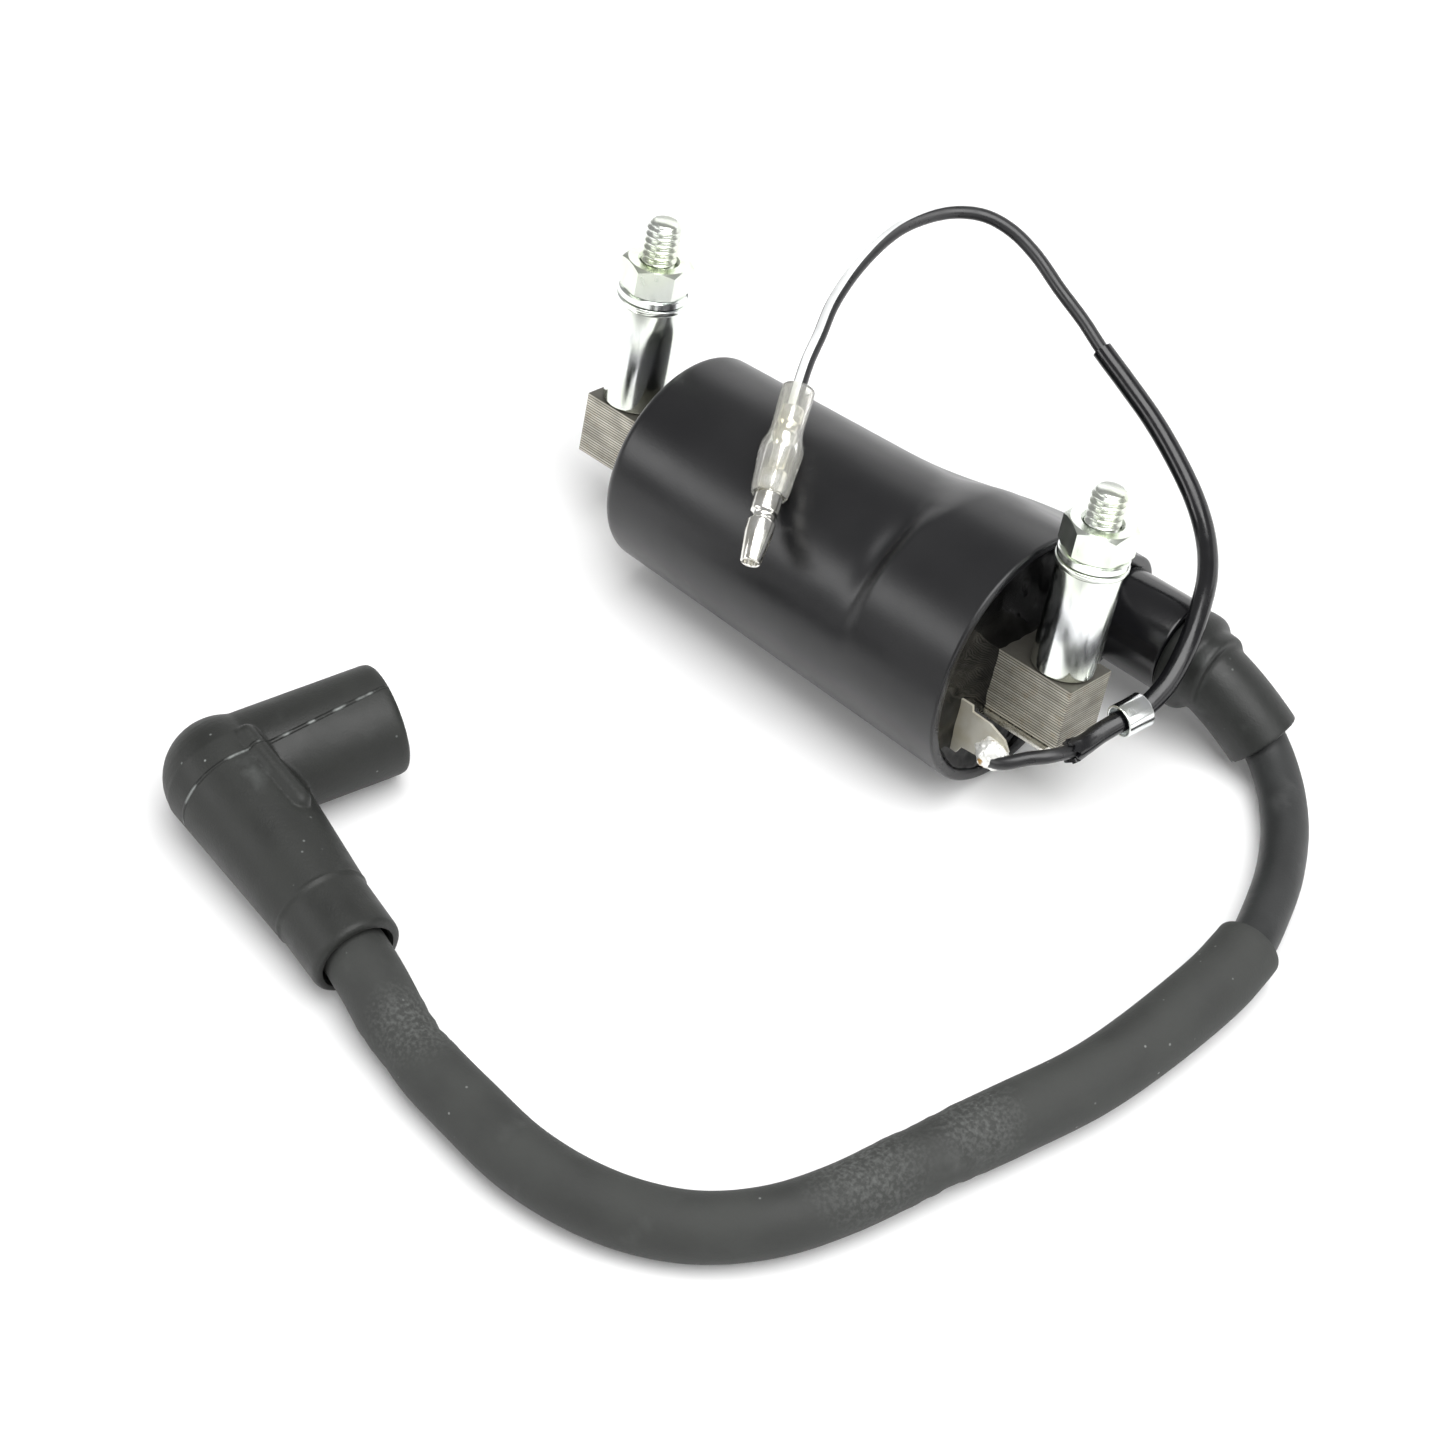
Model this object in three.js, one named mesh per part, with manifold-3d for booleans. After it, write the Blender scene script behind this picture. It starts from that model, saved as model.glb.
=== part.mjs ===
// Ignition coil for a small engine, in millimetres, +Z up, lying on its side as it rests on a table.
// Coil frame: x along the core from the rear stud to the front one, z along the studs, y to the tower.
// Table frame: z = 0 is the table top. The coil frame is rolled and pitched into it.
import * as THREE from "three";
import { mergeVertices } from "three/addons/utils/BufferGeometryUtils.js";
import Module from "manifold-3d";

const wasm = await Module();
wasm.setup();

// How the coil lies on the table, and the middle of its footprint
const BASE_CENTRE = [59.838, 7.489];
const COIL_HEIGHT = 18.432;
const COIL_ROLL = -16.5;
const COIL_PITCH = -1.9;

// Core of stacked plates, with the two studs through it
const STUD_SPACING = 98.1;
const CORE_X = [-5.9, 104];
const CORE_WIDTH = 11.2;
const PLATES = 24;
const PLATE_PITCH = 0.49;
const PLATE_THICKNESS = 0.47;
const CORE_HALF_HEIGHT = (PLATES * PLATE_PITCH) / 2;
const STUD_RADIUS = 3.06;
const STUD_TOPS = { rear: 41.5, front: 40.2 };
const STUD_HEAD_RADIUS = 4.4;
const STUD_HEAD_BASE = -7.15;
const RUNNING_GAP = 0.06;

// Everything stacked on a stud, [bottom, top] along it
const SPACER_Z = [5.95, 26];
const SPACER_RADIUS = 5.63;
const WASHER_Z = [26.05, 27.05];
const WASHER_RADIUS = 6.25;
const LOCK_WASHER_Z = [27.1, 28.6];
const LOCK_WASHER_RADIUS = 6.1;
const NUT_Z = [28.65, 34.15];
const NUT_FLATS = 11.1;
const LOOSE_BORE = 3.3;
const REAR_NUT_TURN = 9;
const FRONT_NUT_TURN = -3;

// Casing: a tapered barrel and a side lobe that carries the tower
const CASING_X = [12.34, 90.06];
const CASING_RADII = [19.7, 22.3];
const CASING_AXIS_Z = 0.9;
const CASING_WALL = 2;
const CASING_SIDES = 40;
const HOLLOW_SIDES = 24;
const RESIN_FRONT = 88.6;
const LOBE_RADIUS = 9.5;
const LOBE_Z = 1.7;
const LOBE_CENTRES = [
  [37, 10.5], [41, 15], [46, 18.5], [52.7, 20.4], [59.3, 23.4], [65.5, 25.6], [71.7, 27], [76, 28],
];
const CREASE_X = [67.5, 71.5];
const CREASE_RISE = 2.4;
const TOWER_YZ = [27.6, 1.6];
const TOWER_X = [74, 107.7];
const TOWER_RADII = [8.3, 8.4];
const SPIGOT_START = 104.5;
const SPIGOT_RADIUS = 6.4;
const TOWER_BORE_START = 80;

// High-tension side
const LEAD_RADIUS = 4;
const LEAD_STEPS = 42;
const SLEEVE_RADII = [5.75, 4.3];
const SLEEVE_STEPS = [11, 38];
const BOOT_RADIUS = 6.6;
const COLLAR_YZ = [27.4, 0.9];
const COLLAR_RADIUS = 8.8;

// Low-tension side
const WIRE_RADIUS = 1.2;
const SHEATH_RADII = [1.8, 1.4];
const WIRE_STEPS = 40;
const SHEATH_STEPS = [19, 37];
const SLEEVE_CENTRE = [43.11, -8.38, 43.61];
const CONNECTOR_AXIS = [0.441, -0.841, -0.313];
const RING_ENDS = [[108.66, 3.76, 19.56], [109.67, 8.9, 19.3]];

// Plug cap: the elbow, the leg to the lead and the barrel to the spark plug
const ELBOW = [3.2, -100.1, 10.8];
const LEG_END = [43.1, -109.2, 8.1];
const BARREL_END = [11.85, -74.75, 10];
const BARREL_RADIUS = 9.8;
const BARREL_LENGTH = 29.6;
const LEG_LENGTH = 43;
const CAP_RIB = { from: [5.6, -96.3, 20.2], to: [20.6, -98.4, 17.4], radius: 1.5 };

const STEEL = ["#a8a496", 0.45, 0.85];
const ZINC = ["#dfe3e0", 0.22, 0.95];
const BRASS = ["#c9a24a", 0.35, 0.9];
const TIN = ["#cfccbf", 0.45, 0.8];
const BLACK_PLASTIC = ["#161616", 0.42, 0];
const BLACK_RUBBER = ["#232423", 0.85, 0];
const BLACK_RESIN = ["#0b0b0c", 0.15, 0];
const COPPER = ["#a4562b", 0.4, 0.8];
const NYLON = ["#d9d4c3", 0.6, 0];
const CLEAR_VINYL = ["#e6e2d2", 0.35, 0];

const root = new THREE.Group();
const table = new THREE.Group();
const coil = new THREE.Group();
root.add(table);
table.add(coil);
table.position.set(-BASE_CENTRE[0], -BASE_CENTRE[1], 0);
coil.rotation.order = "YXZ";
coil.rotation.set(THREE.MathUtils.degToRad(COIL_ROLL), THREE.MathUtils.degToRad(COIL_PITCH), 0);
coil.position.z = COIL_HEIGHT;
coil.updateMatrix();

// ---- solids

function toSolid(geometry) {
  const bare = geometry.clone();
  bare.deleteAttribute("normal");
  bare.deleteAttribute("uv");
  const merged = mergeVertices(bare, 1e-3);
  const vertProperties = merged.attributes.position.array;
  const triVerts = new Uint32Array(merged.index.array);
  return new wasm.Manifold(new wasm.Mesh({ numProp: 3, vertProperties, triVerts }));
}

function toGeometry(solid) {
  const { vertProperties, triVerts } = solid.getMesh();
  const geometry = new THREE.BufferGeometry();
  geometry.setAttribute("position", new THREE.BufferAttribute(vertProperties, 3));
  geometry.setIndex(new THREE.BufferAttribute(triVerts, 1));
  return geometry;
}

function joined(...geometries) {
  return toGeometry(geometries.map(toSolid).reduce((whole, piece) => whole.add(piece)));
}

function cut(geometry, ...tools) {
  const start = toSolid(geometry);
  return toGeometry(tools.map(toSolid).reduce((whole, tool) => whole.subtract(tool), start));
}

function common(first, second) {
  return toGeometry(toSolid(first).intersect(toSolid(second)));
}

// ---- shapes

// Turned about +Z; the profile is a list of [radius, z].
function turned(profile, sides = 24) {
  const points = profile.map(([radius, z]) => new THREE.Vector2(radius, z));
  if (THREE.ShapeUtils.isClockWise(points)) points.reverse();
  return new THREE.LatheGeometry(points, sides).rotateX(Math.PI / 2);
}

function cylinder(radius, from, to, sides = 24) {
  return turned([[0, from], [radius, from], [radius, to], [0, to]], sides);
}

function pipe(outer, inner, from, to, sides = 24) {
  return turned([[inner, from], [outer, from], [outer, to], [inner, to], [inner, from]], sides);
}

function alongX(geometry, y = 0, z = 0) {
  return geometry.rotateY(Math.PI / 2).translate(0, y, z);
}

// Turns a shape made along +Z to point from one place to another, starting at the first.
function pointed(geometry, from, to) {
  const start = new THREE.Vector3(...from);
  const direction = new THREE.Vector3(...to).sub(start).normalize();
  const turn = new THREE.Quaternion().setFromUnitVectors(new THREE.Vector3(0, 0, 1), direction);
  return geometry.applyQuaternion(turn).translate(...from);
}

function block([x0, x1], [y0, y1], [z0, z1]) {
  const geometry = new THREE.BoxGeometry(x1 - x0, y1 - y0, z1 - z0);
  return geometry.translate((x0 + x1) / 2, (y0 + y1) / 2, (z0 + z1) / 2);
}

function roundHole(x, radius, sides = 12) {
  const turn = (side) => (-2 * Math.PI * side) / sides;
  const corner = (angle) => new THREE.Vector2(x + radius * Math.cos(angle), radius * Math.sin(angle));
  return new THREE.Path(Array.from({ length: sides }, (_, side) => corner(turn(side))));
}

function plate(outline, holes, thickness) {
  const shape = new THREE.Shape(outline.map(([x, y]) => new THREE.Vector2(x, y)));
  shape.holes = holes;
  return new THREE.ExtrudeGeometry(shape, { depth: thickness, bevelEnabled: false, curveSegments: 6 });
}

// Closes a stack of rings of the same point count into one body, with a fan on each end.
function skinned(rings) {
  const sides = rings[0].length;
  const positions = rings.flat(2);
  const faces = [];
  rings.slice(1).forEach((_, row) => {
    for (let side = 0; side < sides; side += 1) {
      const next = (side + 1) % sides;
      const [a, b] = [row * sides + side, row * sides + next];
      const [c, d] = [a + sides, b + sides];
      faces.push(a, b, d, a, d, c);
    }
  });
  const last = (rings.length - 1) * sides;
  for (let side = 1; side < sides - 1; side += 1) {
    faces.push(0, side + 1, side);
    faces.push(last, last + side, last + side + 1);
  }
  const geometry = new THREE.BufferGeometry();
  geometry.setAttribute("position", new THREE.Float32BufferAttribute(positions, 3));
  return geometry.setIndex(faces);
}

// A cord's route: places and cross directions at even steps along a smooth curve.
function route(points, steps) {
  const places = points.map((point) => new THREE.Vector3(...point));
  const curve = new THREE.CatmullRomCurve3(places, false, "centripetal");
  curve.arcLengthDivisions = 600;
  const frames = curve.computeFrenetFrames(steps);
  return { places: curve.getSpacedPoints(steps), across: frames.normals, up: frames.binormals };
}

function ringAt({ places, across, up }, step, radius, sides) {
  return Array.from({ length: sides }, (_, side) => {
    const angle = (2 * Math.PI * side) / sides;
    const point = places[step].clone();
    point.addScaledVector(across[step], radius * Math.cos(angle));
    point.addScaledVector(up[step], radius * Math.sin(angle));
    return point.toArray();
  });
}

function cord(path, [first, last], radius, sides) {
  const steps = Array.from({ length: last - first + 1 }, (_, index) => first + index);
  return skinned(steps.map((step) => ringAt(path, step, radius, sides)));
}

// A hollow cord: its bore runs on a little past both ends so that the cut is clean.
function hollowCord(path, [first, last], outer, inner, sides) {
  return cut(cord(path, [first, last], outer, sides), cord(path, [first - 1, last + 1], inner, sides));
}

function add(group, name, geometry, [colour, roughness, metalness]) {
  const material = new THREE.MeshStandardMaterial({ color: colour, roughness, metalness });
  const mesh = new THREE.Mesh(geometry, material);
  mesh.name = name;
  group.add(mesh);
}

// ---- core and studs

function addCore() {
  const outline = [CORE_X[0], CORE_X[1]].flatMap((x, end) => {
    const side = (end ? -1 : 1) * (CORE_WIDTH / 2);
    return [[x, side], [x, -side]];
  });
  const holes = [roundHole(0, LOOSE_BORE), roundHole(STUD_SPACING, LOOSE_BORE)];
  for (let index = 0; index < PLATES; index += 1) {
    const name = "core_lamination_" + String(index + 1).padStart(2, "0");
    const geometry = plate(outline, holes, PLATE_THICKNESS);
    add(coil, name, geometry.translate(0, 0, -CORE_HALF_HEIGHT + index * PLATE_PITCH), STEEL);
  }
}

function stud(top) {
  const chamfer = 0.6;
  return turned([
    [0, STUD_HEAD_BASE],
    [STUD_HEAD_RADIUS - chamfer, STUD_HEAD_BASE],
    [STUD_HEAD_RADIUS, STUD_HEAD_BASE + chamfer],
    [STUD_HEAD_RADIUS, -CORE_HALF_HEIGHT - 0.05],
    [STUD_RADIUS, -CORE_HALF_HEIGHT - 0.05],
    [STUD_RADIUS, top - chamfer],
    [STUD_RADIUS - chamfer, top],
    [0, top],
  ]);
}

function lockWasher() {
  const ring = pipe(LOCK_WASHER_RADIUS, LOOSE_BORE, LOCK_WASHER_Z[0], LOCK_WASHER_Z[1]);
  const split = block([0, 8], [-0.5, 0.5], [LOCK_WASHER_Z[0] - 1, LOCK_WASHER_Z[1] + 1]);
  return cut(ring, split.rotateZ(0.6));
}

function nut(turn) {
  const corner = NUT_FLATS / 2 / Math.cos(Math.PI / 6);
  const crown = NUT_FLATS / 2 + 0.1;
  const [bottom, top] = NUT_Z;
  const drop = 0.6;
  const prism = cylinder(corner, bottom, top, 6).rotateZ(THREE.MathUtils.degToRad(turn));
  const dome = turned([
    [0, bottom], [crown, bottom], [corner, bottom + drop], [corner, top - drop], [crown, top], [0, top],
  ]);
  const bore = cylinder(STUD_RADIUS + 2 * RUNNING_GAP, bottom - 1, top + 1);
  return cut(common(prism, dome), bore);
}

function addStudStack(end, x, nutTurn) {
  const stack = [
    ["stud", stud(STUD_TOPS[end]), ZINC],
    ["spacer", pipe(SPACER_RADIUS, LOOSE_BORE, SPACER_Z[0], SPACER_Z[1], 32), ZINC],
    ["washer", pipe(WASHER_RADIUS, LOOSE_BORE, WASHER_Z[0], WASHER_Z[1], 32), ZINC],
    ["lock_washer", lockWasher(), ZINC],
    ["nut", nut(nutTurn), ZINC],
  ];
  stack.forEach(([name, geometry, look]) => {
    add(coil, end + "_" + name, geometry.translate(x, 0, 0), look);
  });
}

// ---- casing and what it holds

function barrelRadius(x) {
  const share = (x - CASING_X[0]) / (CASING_X[1] - CASING_X[0]);
  return CASING_RADII[0] + share * (CASING_RADII[1] - CASING_RADII[0]);
}

function lobeCentre(x) {
  const after = LOBE_CENTRES.findIndex(([station]) => station >= x);
  if (after === 0) return LOBE_CENTRES[0][1];
  if (after < 0) return LOBE_CENTRES.at(-1)[1];
  const [[x0, y0], [x1, y1]] = LOBE_CENTRES.slice(after - 1, after + 1);
  return y0 + ((y1 - y0) * (x - x0)) / (x1 - x0);
}

// The front part stands proud of the rear part, most at the top and not at all underneath.
function creaseRise(x, upward) {
  const along = THREE.MathUtils.smoothstep(x, CREASE_X[0], CREASE_X[1]);
  return CREASE_RISE * along * THREE.MathUtils.smoothstep(upward, -0.1, 1.1);
}

function casingRing(x, inset, sides) {
  const lobeY = lobeCentre(x);
  return Array.from({ length: sides }, (_, side) => {
    const angle = (2 * Math.PI * side) / sides;
    const [c, s] = [Math.cos(angle), Math.sin(angle)];
    const barrel = barrelRadius(x) - inset;
    const lobe = LOBE_RADIUS - inset;
    const onLobe = c * lobeY + s * LOBE_Z + lobe > s * CASING_AXIS_Z + barrel;
    const [y, height] = onLobe
      ? [lobeY + lobe * c, LOBE_Z + lobe * s - CASING_AXIS_Z]
      : [barrel * c, barrel * s];
    const distance = Math.hypot(y, height);
    const grown = 1 + creaseRise(x, height / distance) / distance;
    return [x, y * grown, CASING_AXIS_Z + height * grown];
  });
}

function casingLoft(stations, sides) {
  return skinned(stations.map(([x, inset]) => casingRing(x, inset, sides)));
}

const CASING_STATIONS = [37, 41, 46, 52.7, 59.3, 65.5, 67.5, 69.5, 71.5, 76];
const HOLLOW_STATIONS = [37, 46, 59.3, 67.5, 71.5, 76];

function towerBody() {
  const [start, end] = TOWER_X;
  return turned([
    [0, start],
    [TOWER_RADII[0], start],
    [TOWER_RADII[0], CASING_X[1]],
    [TOWER_RADII[1], SPIGOT_START],
    [SPIGOT_RADIUS, SPIGOT_START],
    [SPIGOT_RADIUS, end],
    [0, end],
  ]);
}

function towerBore() {
  return turned([
    [0, TOWER_X[0] - 1],
    [1.6, TOWER_X[0] - 1],
    [1.6, TOWER_BORE_START],
    [4.8, TOWER_BORE_START],
    [4.8, 101],
    [5.6, TOWER_X[1] + 1],
    [0, TOWER_X[1] + 1],
  ]);
}

function coreSleeve([x0, x1], width, height) {
  return block([x0, x1], [-width / 2, width / 2], [-height / 2, height / 2]);
}

function casing() {
  const [rear, front] = CASING_X;
  const middle = CASING_STATIONS.map((x) => [x, 0]);
  const rearEdge = [[rear, 1.9], [rear + 0.5, 0.8], [rear + 1.8, 0]];
  const frontEdge = [[front - 0.4, 0], [front, 0.4]];
  const outer = casingLoft([...rearEdge, ...middle, ...frontEdge], CASING_SIDES);
  const hollow = HOLLOW_STATIONS.map((x) => [x, CASING_WALL]);
  const floor = [rear + CASING_WALL, CASING_WALL];
  const inner = casingLoft([floor, ...hollow, [front + 1, CASING_WALL]], HOLLOW_SIDES);
  const shell = cut(outer, inner);
  const whole = joined(shell, alongX(towerBody(), ...TOWER_YZ));
  return cut(whole, alongX(towerBore(), ...TOWER_YZ), coreSleeve([rear - 1, rear + 4], 11.5, 12.1));
}

const CONTACT_ROUTE = [
  [66, 16.7, 1.6], [66, 25, 1.6], [66.8, 26.8, 1.6], [68.6, 27.6, 1.6], [73.9, 27.6, 1.6],
];

function contactWire(radius) {
  return cord(route(CONTACT_ROUTE, 8), [0, 8], radius, 6);
}

// The tag and the ground strip, outlines in x and z.
const TAG_OUTLINE = [
  [84.5, -2], [90.6, -2], [90.9, -3.1], [94.7, -3.3], [98.1, -4.6], [99.3, -6.2],
  [98.9, -10], [91.2, -10.5], [90.4, -10.6], [89.7, -12.1], [84.5, -11.9],
];
const TAG_Y = [-12.35, -11.85];
const STRIP_BOX = [[86, 102.6], [-6.9, -4.7], [-6.55, -5.98]];

function resin() {
  const inset = CASING_WALL + 0.1;
  const stations = HOLLOW_STATIONS.map((x) => [x, inset]);
  const fill = casingLoft([[CASING_X[0] + inset, inset], ...stations, [RESIN_FRONT, inset]], HOLLOW_SIDES);
  return cut(
    fill,
    alongX(cylinder(17, 17.8, 82.2)),
    coreSleeve([15.9, 84.1], 13.1, 13.7),
    coreSleeve([10, 95], 11.5, 12.1),
    alongX(cylinder(TOWER_RADII[0] + 0.15, TOWER_X[0] - 0.1, 95), ...TOWER_YZ),
    contactWire(0.6),
    block([84.3, 95], [TAG_Y[0] - 0.1, TAG_Y[1] + 0.1], [-12.3, -1.9]),
    block([85.9, 95], [-7, -4.6], [-6.65, -5.5]),
  );
}

function windingForm(barrel, flange, [x0, x1]) {
  const web = 1;
  return turned([
    [0, x0], [flange, x0], [flange, x0 + web], [barrel, x0 + web],
    [barrel, x1 - web], [flange, x1 - web], [flange, x1], [0, x1],
  ]);
}

function addCasing() {
  add(coil, "casing", casing(), BLACK_PLASTIC);
  add(coil, "potting_resin", resin(), BLACK_RESIN);
}

function addWindings() {
  const insulator = cut(coreSleeve([16, 84], 12.9, 13.5), coreSleeve([10, 90], 11.5, 12.1));
  add(coil, "core_insulator", insulator, NYLON);
  const primaryHole = coreSleeve([10, 90], 13.2, 13.8);
  const primaryForm = cut(alongX(windingForm(10.2, 12.6, [17.9, 82.1])), primaryHole);
  add(coil, "primary_bobbin", primaryForm, NYLON);
  add(coil, "primary_winding", alongX(pipe(12.3, 10.4, 19.1, 80.9)), COPPER);
  const secondaryHole = alongX(cylinder(12.9, 10, 90));
  const secondaryForm = cut(alongX(windingForm(13.9, 16.8, [18, 82])), secondaryHole);
  add(coil, "secondary_bobbin", secondaryForm, NYLON);
  add(coil, "secondary_winding", alongX(pipe(16.4, 14.1, 19.2, 80.8)), COPPER);
}

function addContacts() {
  add(coil, "ht_contact", contactWire(0.5), COPPER);
  const pin = turned([[0, 74.05], [1.4, 74.05], [1.4, 90.8], [0.8, 90.8], [0.8, 99.4], [0, 100.6]], 12);
  add(coil, "ht_pin", alongX(pin, ...TOWER_YZ), BRASS);
  add(coil, "lt_tag", tagPlate(), TIN);
  add(coil, "ground_tab", block(...STRIP_BOX), TIN);
}

function tagPlate() {
  const thickness = TAG_Y[1] - TAG_Y[0];
  return plate(TAG_OUTLINE, [], thickness).rotateX(Math.PI / 2).translate(0, TAG_Y[1], 0);
}

// ---- high-tension lead, boot, sleeve and plug cap

const LEAD_ROUTE = [
  [91.16, 26.92, 15.17], [97, 26.92, 15.36], [103.15, 26.92, 15.42], [107.7, 26.95, 14.9],
  [111.6, 27, 13.5], [115.4, 27.1, 11.5], [118.9, 27.1, 9.3], [122.4, 26.8, 7.1],
  [126.1, 25.1, 5.5], [130.7, 21.6, 4.6], [134.3, 17.9, 4.3], [137.6, 13.6, 4.25],
  [142, 6, 4.7], [145.8, -3.5, 5.4], [147.3, -8.3, 5.8], [148, -14.4, 5.9],
  [148.2, -19.4, 5.9], [147, -35.9, 5.9], [144.9, -48.3, 5.9], [140.6, -62.1, 5.9],
  [136.7, -73.6, 5.9], [131.2, -90.6, 5.9], [126.1, -100.7, 5.9], [119, -108.7, 5.9],
  [111.2, -113.6, 5.9], [101.6, -116.8, 5.9], [90.1, -118.2, 5.9], [78.1, -117.2, 5.9],
  [66.4, -115.8, 6], [57.2, -113.7, 6.7], [50.4, -111.4, 7.55],
  [43.1, -109.2, 8.1], [35.1, -107.38, 8.64], [27.14, -105.56, 9.18], [15.2, -102.84, 9.99],
];
const leadPath = route(LEAD_ROUTE, LEAD_STEPS);

function addLead() {
  const spike = alongX(cylinder(1, 85, 101.2, 12), ...TOWER_YZ).applyMatrix4(coil.matrix);
  const screwHole = pointed(cylinder(1.3, -1, 22, 12), ELBOW, LEG_END);
  const lead = cut(cord(leadPath, [0, LEAD_STEPS], LEAD_RADIUS, 12), spike, screwHole);
  add(table, "ht_lead", lead, BLACK_RUBBER);
  const sleeve = hollowCord(leadPath, SLEEVE_STEPS, SLEEVE_RADII[0], SLEEVE_RADII[1], 12);
  add(table, "lead_sleeve", sleeve, BLACK_RUBBER);
}

// The boot bends down with the lead and then runs straight to its mouth.
const BOOT_ROUTE = [
  [107.7, 26.95, 14.9], [111.6, 27, 13.5], [115.4, 27.1, 11.5], [118.9, 27.1, 9.3], [122.8, 27.1, 6.35],
];
const BOOT_STEPS = 9;

function boot() {
  const barrel = cord(route(BOOT_ROUTE, BOOT_STEPS), [0, BOOT_STEPS], BOOT_RADIUS, 20);
  const collar = turned([
    [0, SPIGOT_START + 0.1], [COLLAR_RADIUS, SPIGOT_START + 0.1], [COLLAR_RADIUS, 108],
    [COLLAR_RADIUS - 0.8, 109.4], [COLLAR_RADIUS - 2.4, 110.1], [0, 110.1],
  ]);
  const spigot = cylinder(SPIGOT_RADIUS + 0.1, SPIGOT_START - 1, TOWER_X[1] + 0.2);
  const outside = joined(barrel, alongX(collar, ...COLLAR_YZ).applyMatrix4(coil.matrix));
  const seat = alongX(spigot, ...TOWER_YZ).applyMatrix4(coil.matrix);
  const bore = cord(leadPath, [1, 9], LEAD_RADIUS + 0.35, 12);
  return cut(outside, seat, bore);
}

// A rounded ridge across the inner corner of the elbow.
function capRib() {
  const { from, to, radius } = CAP_RIB;
  const length = new THREE.Vector3(...to).distanceTo(new THREE.Vector3(...from));
  const round = radius * Math.SQRT1_2;
  const ridge = turned([
    [0, -radius], [round, -round], [radius, 0],
    [radius, length], [round, length + round], [0, length + radius],
  ], 12);
  return pointed(ridge, from, to);
}

function plugCap() {
  const leg = turned([
    [0, 0], [10.6, 0], [9.1, 21], [8.35, 30.2], [8.15, 30.4],
    [8, LEG_LENGTH - 1], [7.3, LEG_LENGTH], [0, LEG_LENGTH],
  ], 28);
  const heel = turned([
    [0, -10.5], [4, -9.7], [7.4, -7.4], [9.7, -4], [10.5, 0], [9.7, 4], [7.4, 7.4], [4, 9.7], [0, 10.5],
  ], 28);
  const barrel = turned([
    [0, 0], [BARREL_RADIUS, 0], [BARREL_RADIUS, BARREL_LENGTH - 1.2],
    [BARREL_RADIUS - 1.2, BARREL_LENGTH], [0, BARREL_LENGTH],
  ]);
  const outside = joined(
    pointed(leg, ELBOW, LEG_END),
    pointed(heel, ELBOW, LEG_END),
    pointed(barrel, ELBOW, BARREL_END),
    capRib(),
  );
  const legBore = turned([
    [0, -1], [1.9, -1], [1.9, 11.8], [4.35, 11.8], [4.35, 28.5], [6.2, 28.5],
    [6.2, LEG_LENGTH + 1], [0, LEG_LENGTH + 1],
  ]);
  const plugBore = turned([[0, -6], [5.3, -6], [5.3, 14.5], [6.5, 15.5], [6.5, 31], [0, 31]]);
  return cut(outside, pointed(legBore, ELBOW, LEG_END), pointed(plugBore, ELBOW, BARREL_END));
}

function addPlugCap() {
  add(table, "plug_cap", plugCap(), BLACK_RUBBER);
  const clip = turned([
    [4.4, -5.8], [5.1, -5.8], [5.1, 9], [4.1, 12], [4.6, 14], [4, 14], [3.4, 12], [4.4, 8.6], [4.4, -5.8],
  ]);
  const eye = pointed(cylinder(1.9, -1, 10, 12), ELBOW, LEG_END);
  add(table, "plug_clip", cut(pointed(clip, ELBOW, BARREL_END), eye), ZINC);
  const screw = turned([
    [0, -2.5], [2.9, -2.5], [2.9, -1.4], [1.6, -1.4], [1.6, 11.5], [1.05, 12.3], [1.05, 19], [0, 21],
  ], 12);
  add(table, "cap_screw", pointed(screw, ELBOW, LEG_END), ZINC);
}

// ---- low-tension wire, sheath, ring and bullet connector

const WIRE_ROUTE = [
  [40.24, -2.91, 45.65], [36.49, 4.24, 48.31], [34.2, 9.1, 49.95], [32.5, 13.8, 51.3],
  [30.1, 20, 53.2], [28.4, 29, 55.3], [28.4, 38.5, 56.8], [30.3, 45, 57],
  [32.9, 49.5, 56.6], [36.4, 52.8, 55.6], [40.8, 54.4, 54], [46.3, 54.5, 51.7],
  [53.2, 53.1, 48.7], [59.7, 52.1, 45.8], [64.6, 50.9, 43.6], [71.5, 49.8, 40.5],
  [79.2, 48.3, 37.1], [86.7, 45.9, 33.7], [92.7, 43.2, 31], [98.2, 39.2, 29],
  [102.9, 33.8, 27.8], [106, 28.2, 26.8], [108.9, 21, 24.5], [110.2, 14.2, 21.4],
  [109.67, 8.9, 19.3], [108.66, 3.76, 19.56], [107.6, 0, 19], [106.95, -4.51, 18.74],
  [105.22, -9.64, 19.68], [102.82, -12.39, 19.48], [99.86, -15.52, 18.64], [97.58, -15.94, 17.86],
];
const wirePath = route(WIRE_ROUTE, WIRE_STEPS);

function connectorPlace(geometry) {
  const tip = SLEEVE_CENTRE.map((value, axis) => value + CONNECTOR_AXIS[axis]);
  return pointed(geometry, SLEEVE_CENTRE, tip);
}

function addConnector() {
  const sleeve = turned([
    [2.05, -15], [2.85, -15], [2.85, -6.7], [3.8, -3.2], [3.3, 4.8], [2.95, 5.8],
    [2.6, 5.8], [2.6, -3], [2.05, -4], [2.05, -15],
  ], 20);
  add(table, "connector_sleeve", connectorPlace(sleeve), CLEAR_VINYL);
  const bullet = turned([
    [1.35, -11], [1.9, -11], [1.9, -4], [1.6, -3.4], [1.6, 1], [2.4, 1.6],
    [2.4, 9], [1.95, 9.5], [1.95, 10.3], [2.4, 10.9], [2.4, 13], [1.75, 18.4],
    [1.2, 18.4], [1.2, 9], [0, 9], [0, -6.4], [1.35, -6.4], [1.35, -11],
  ], 16);
  add(table, "bullet_terminal", connectorPlace(bullet), TIN);
}

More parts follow.
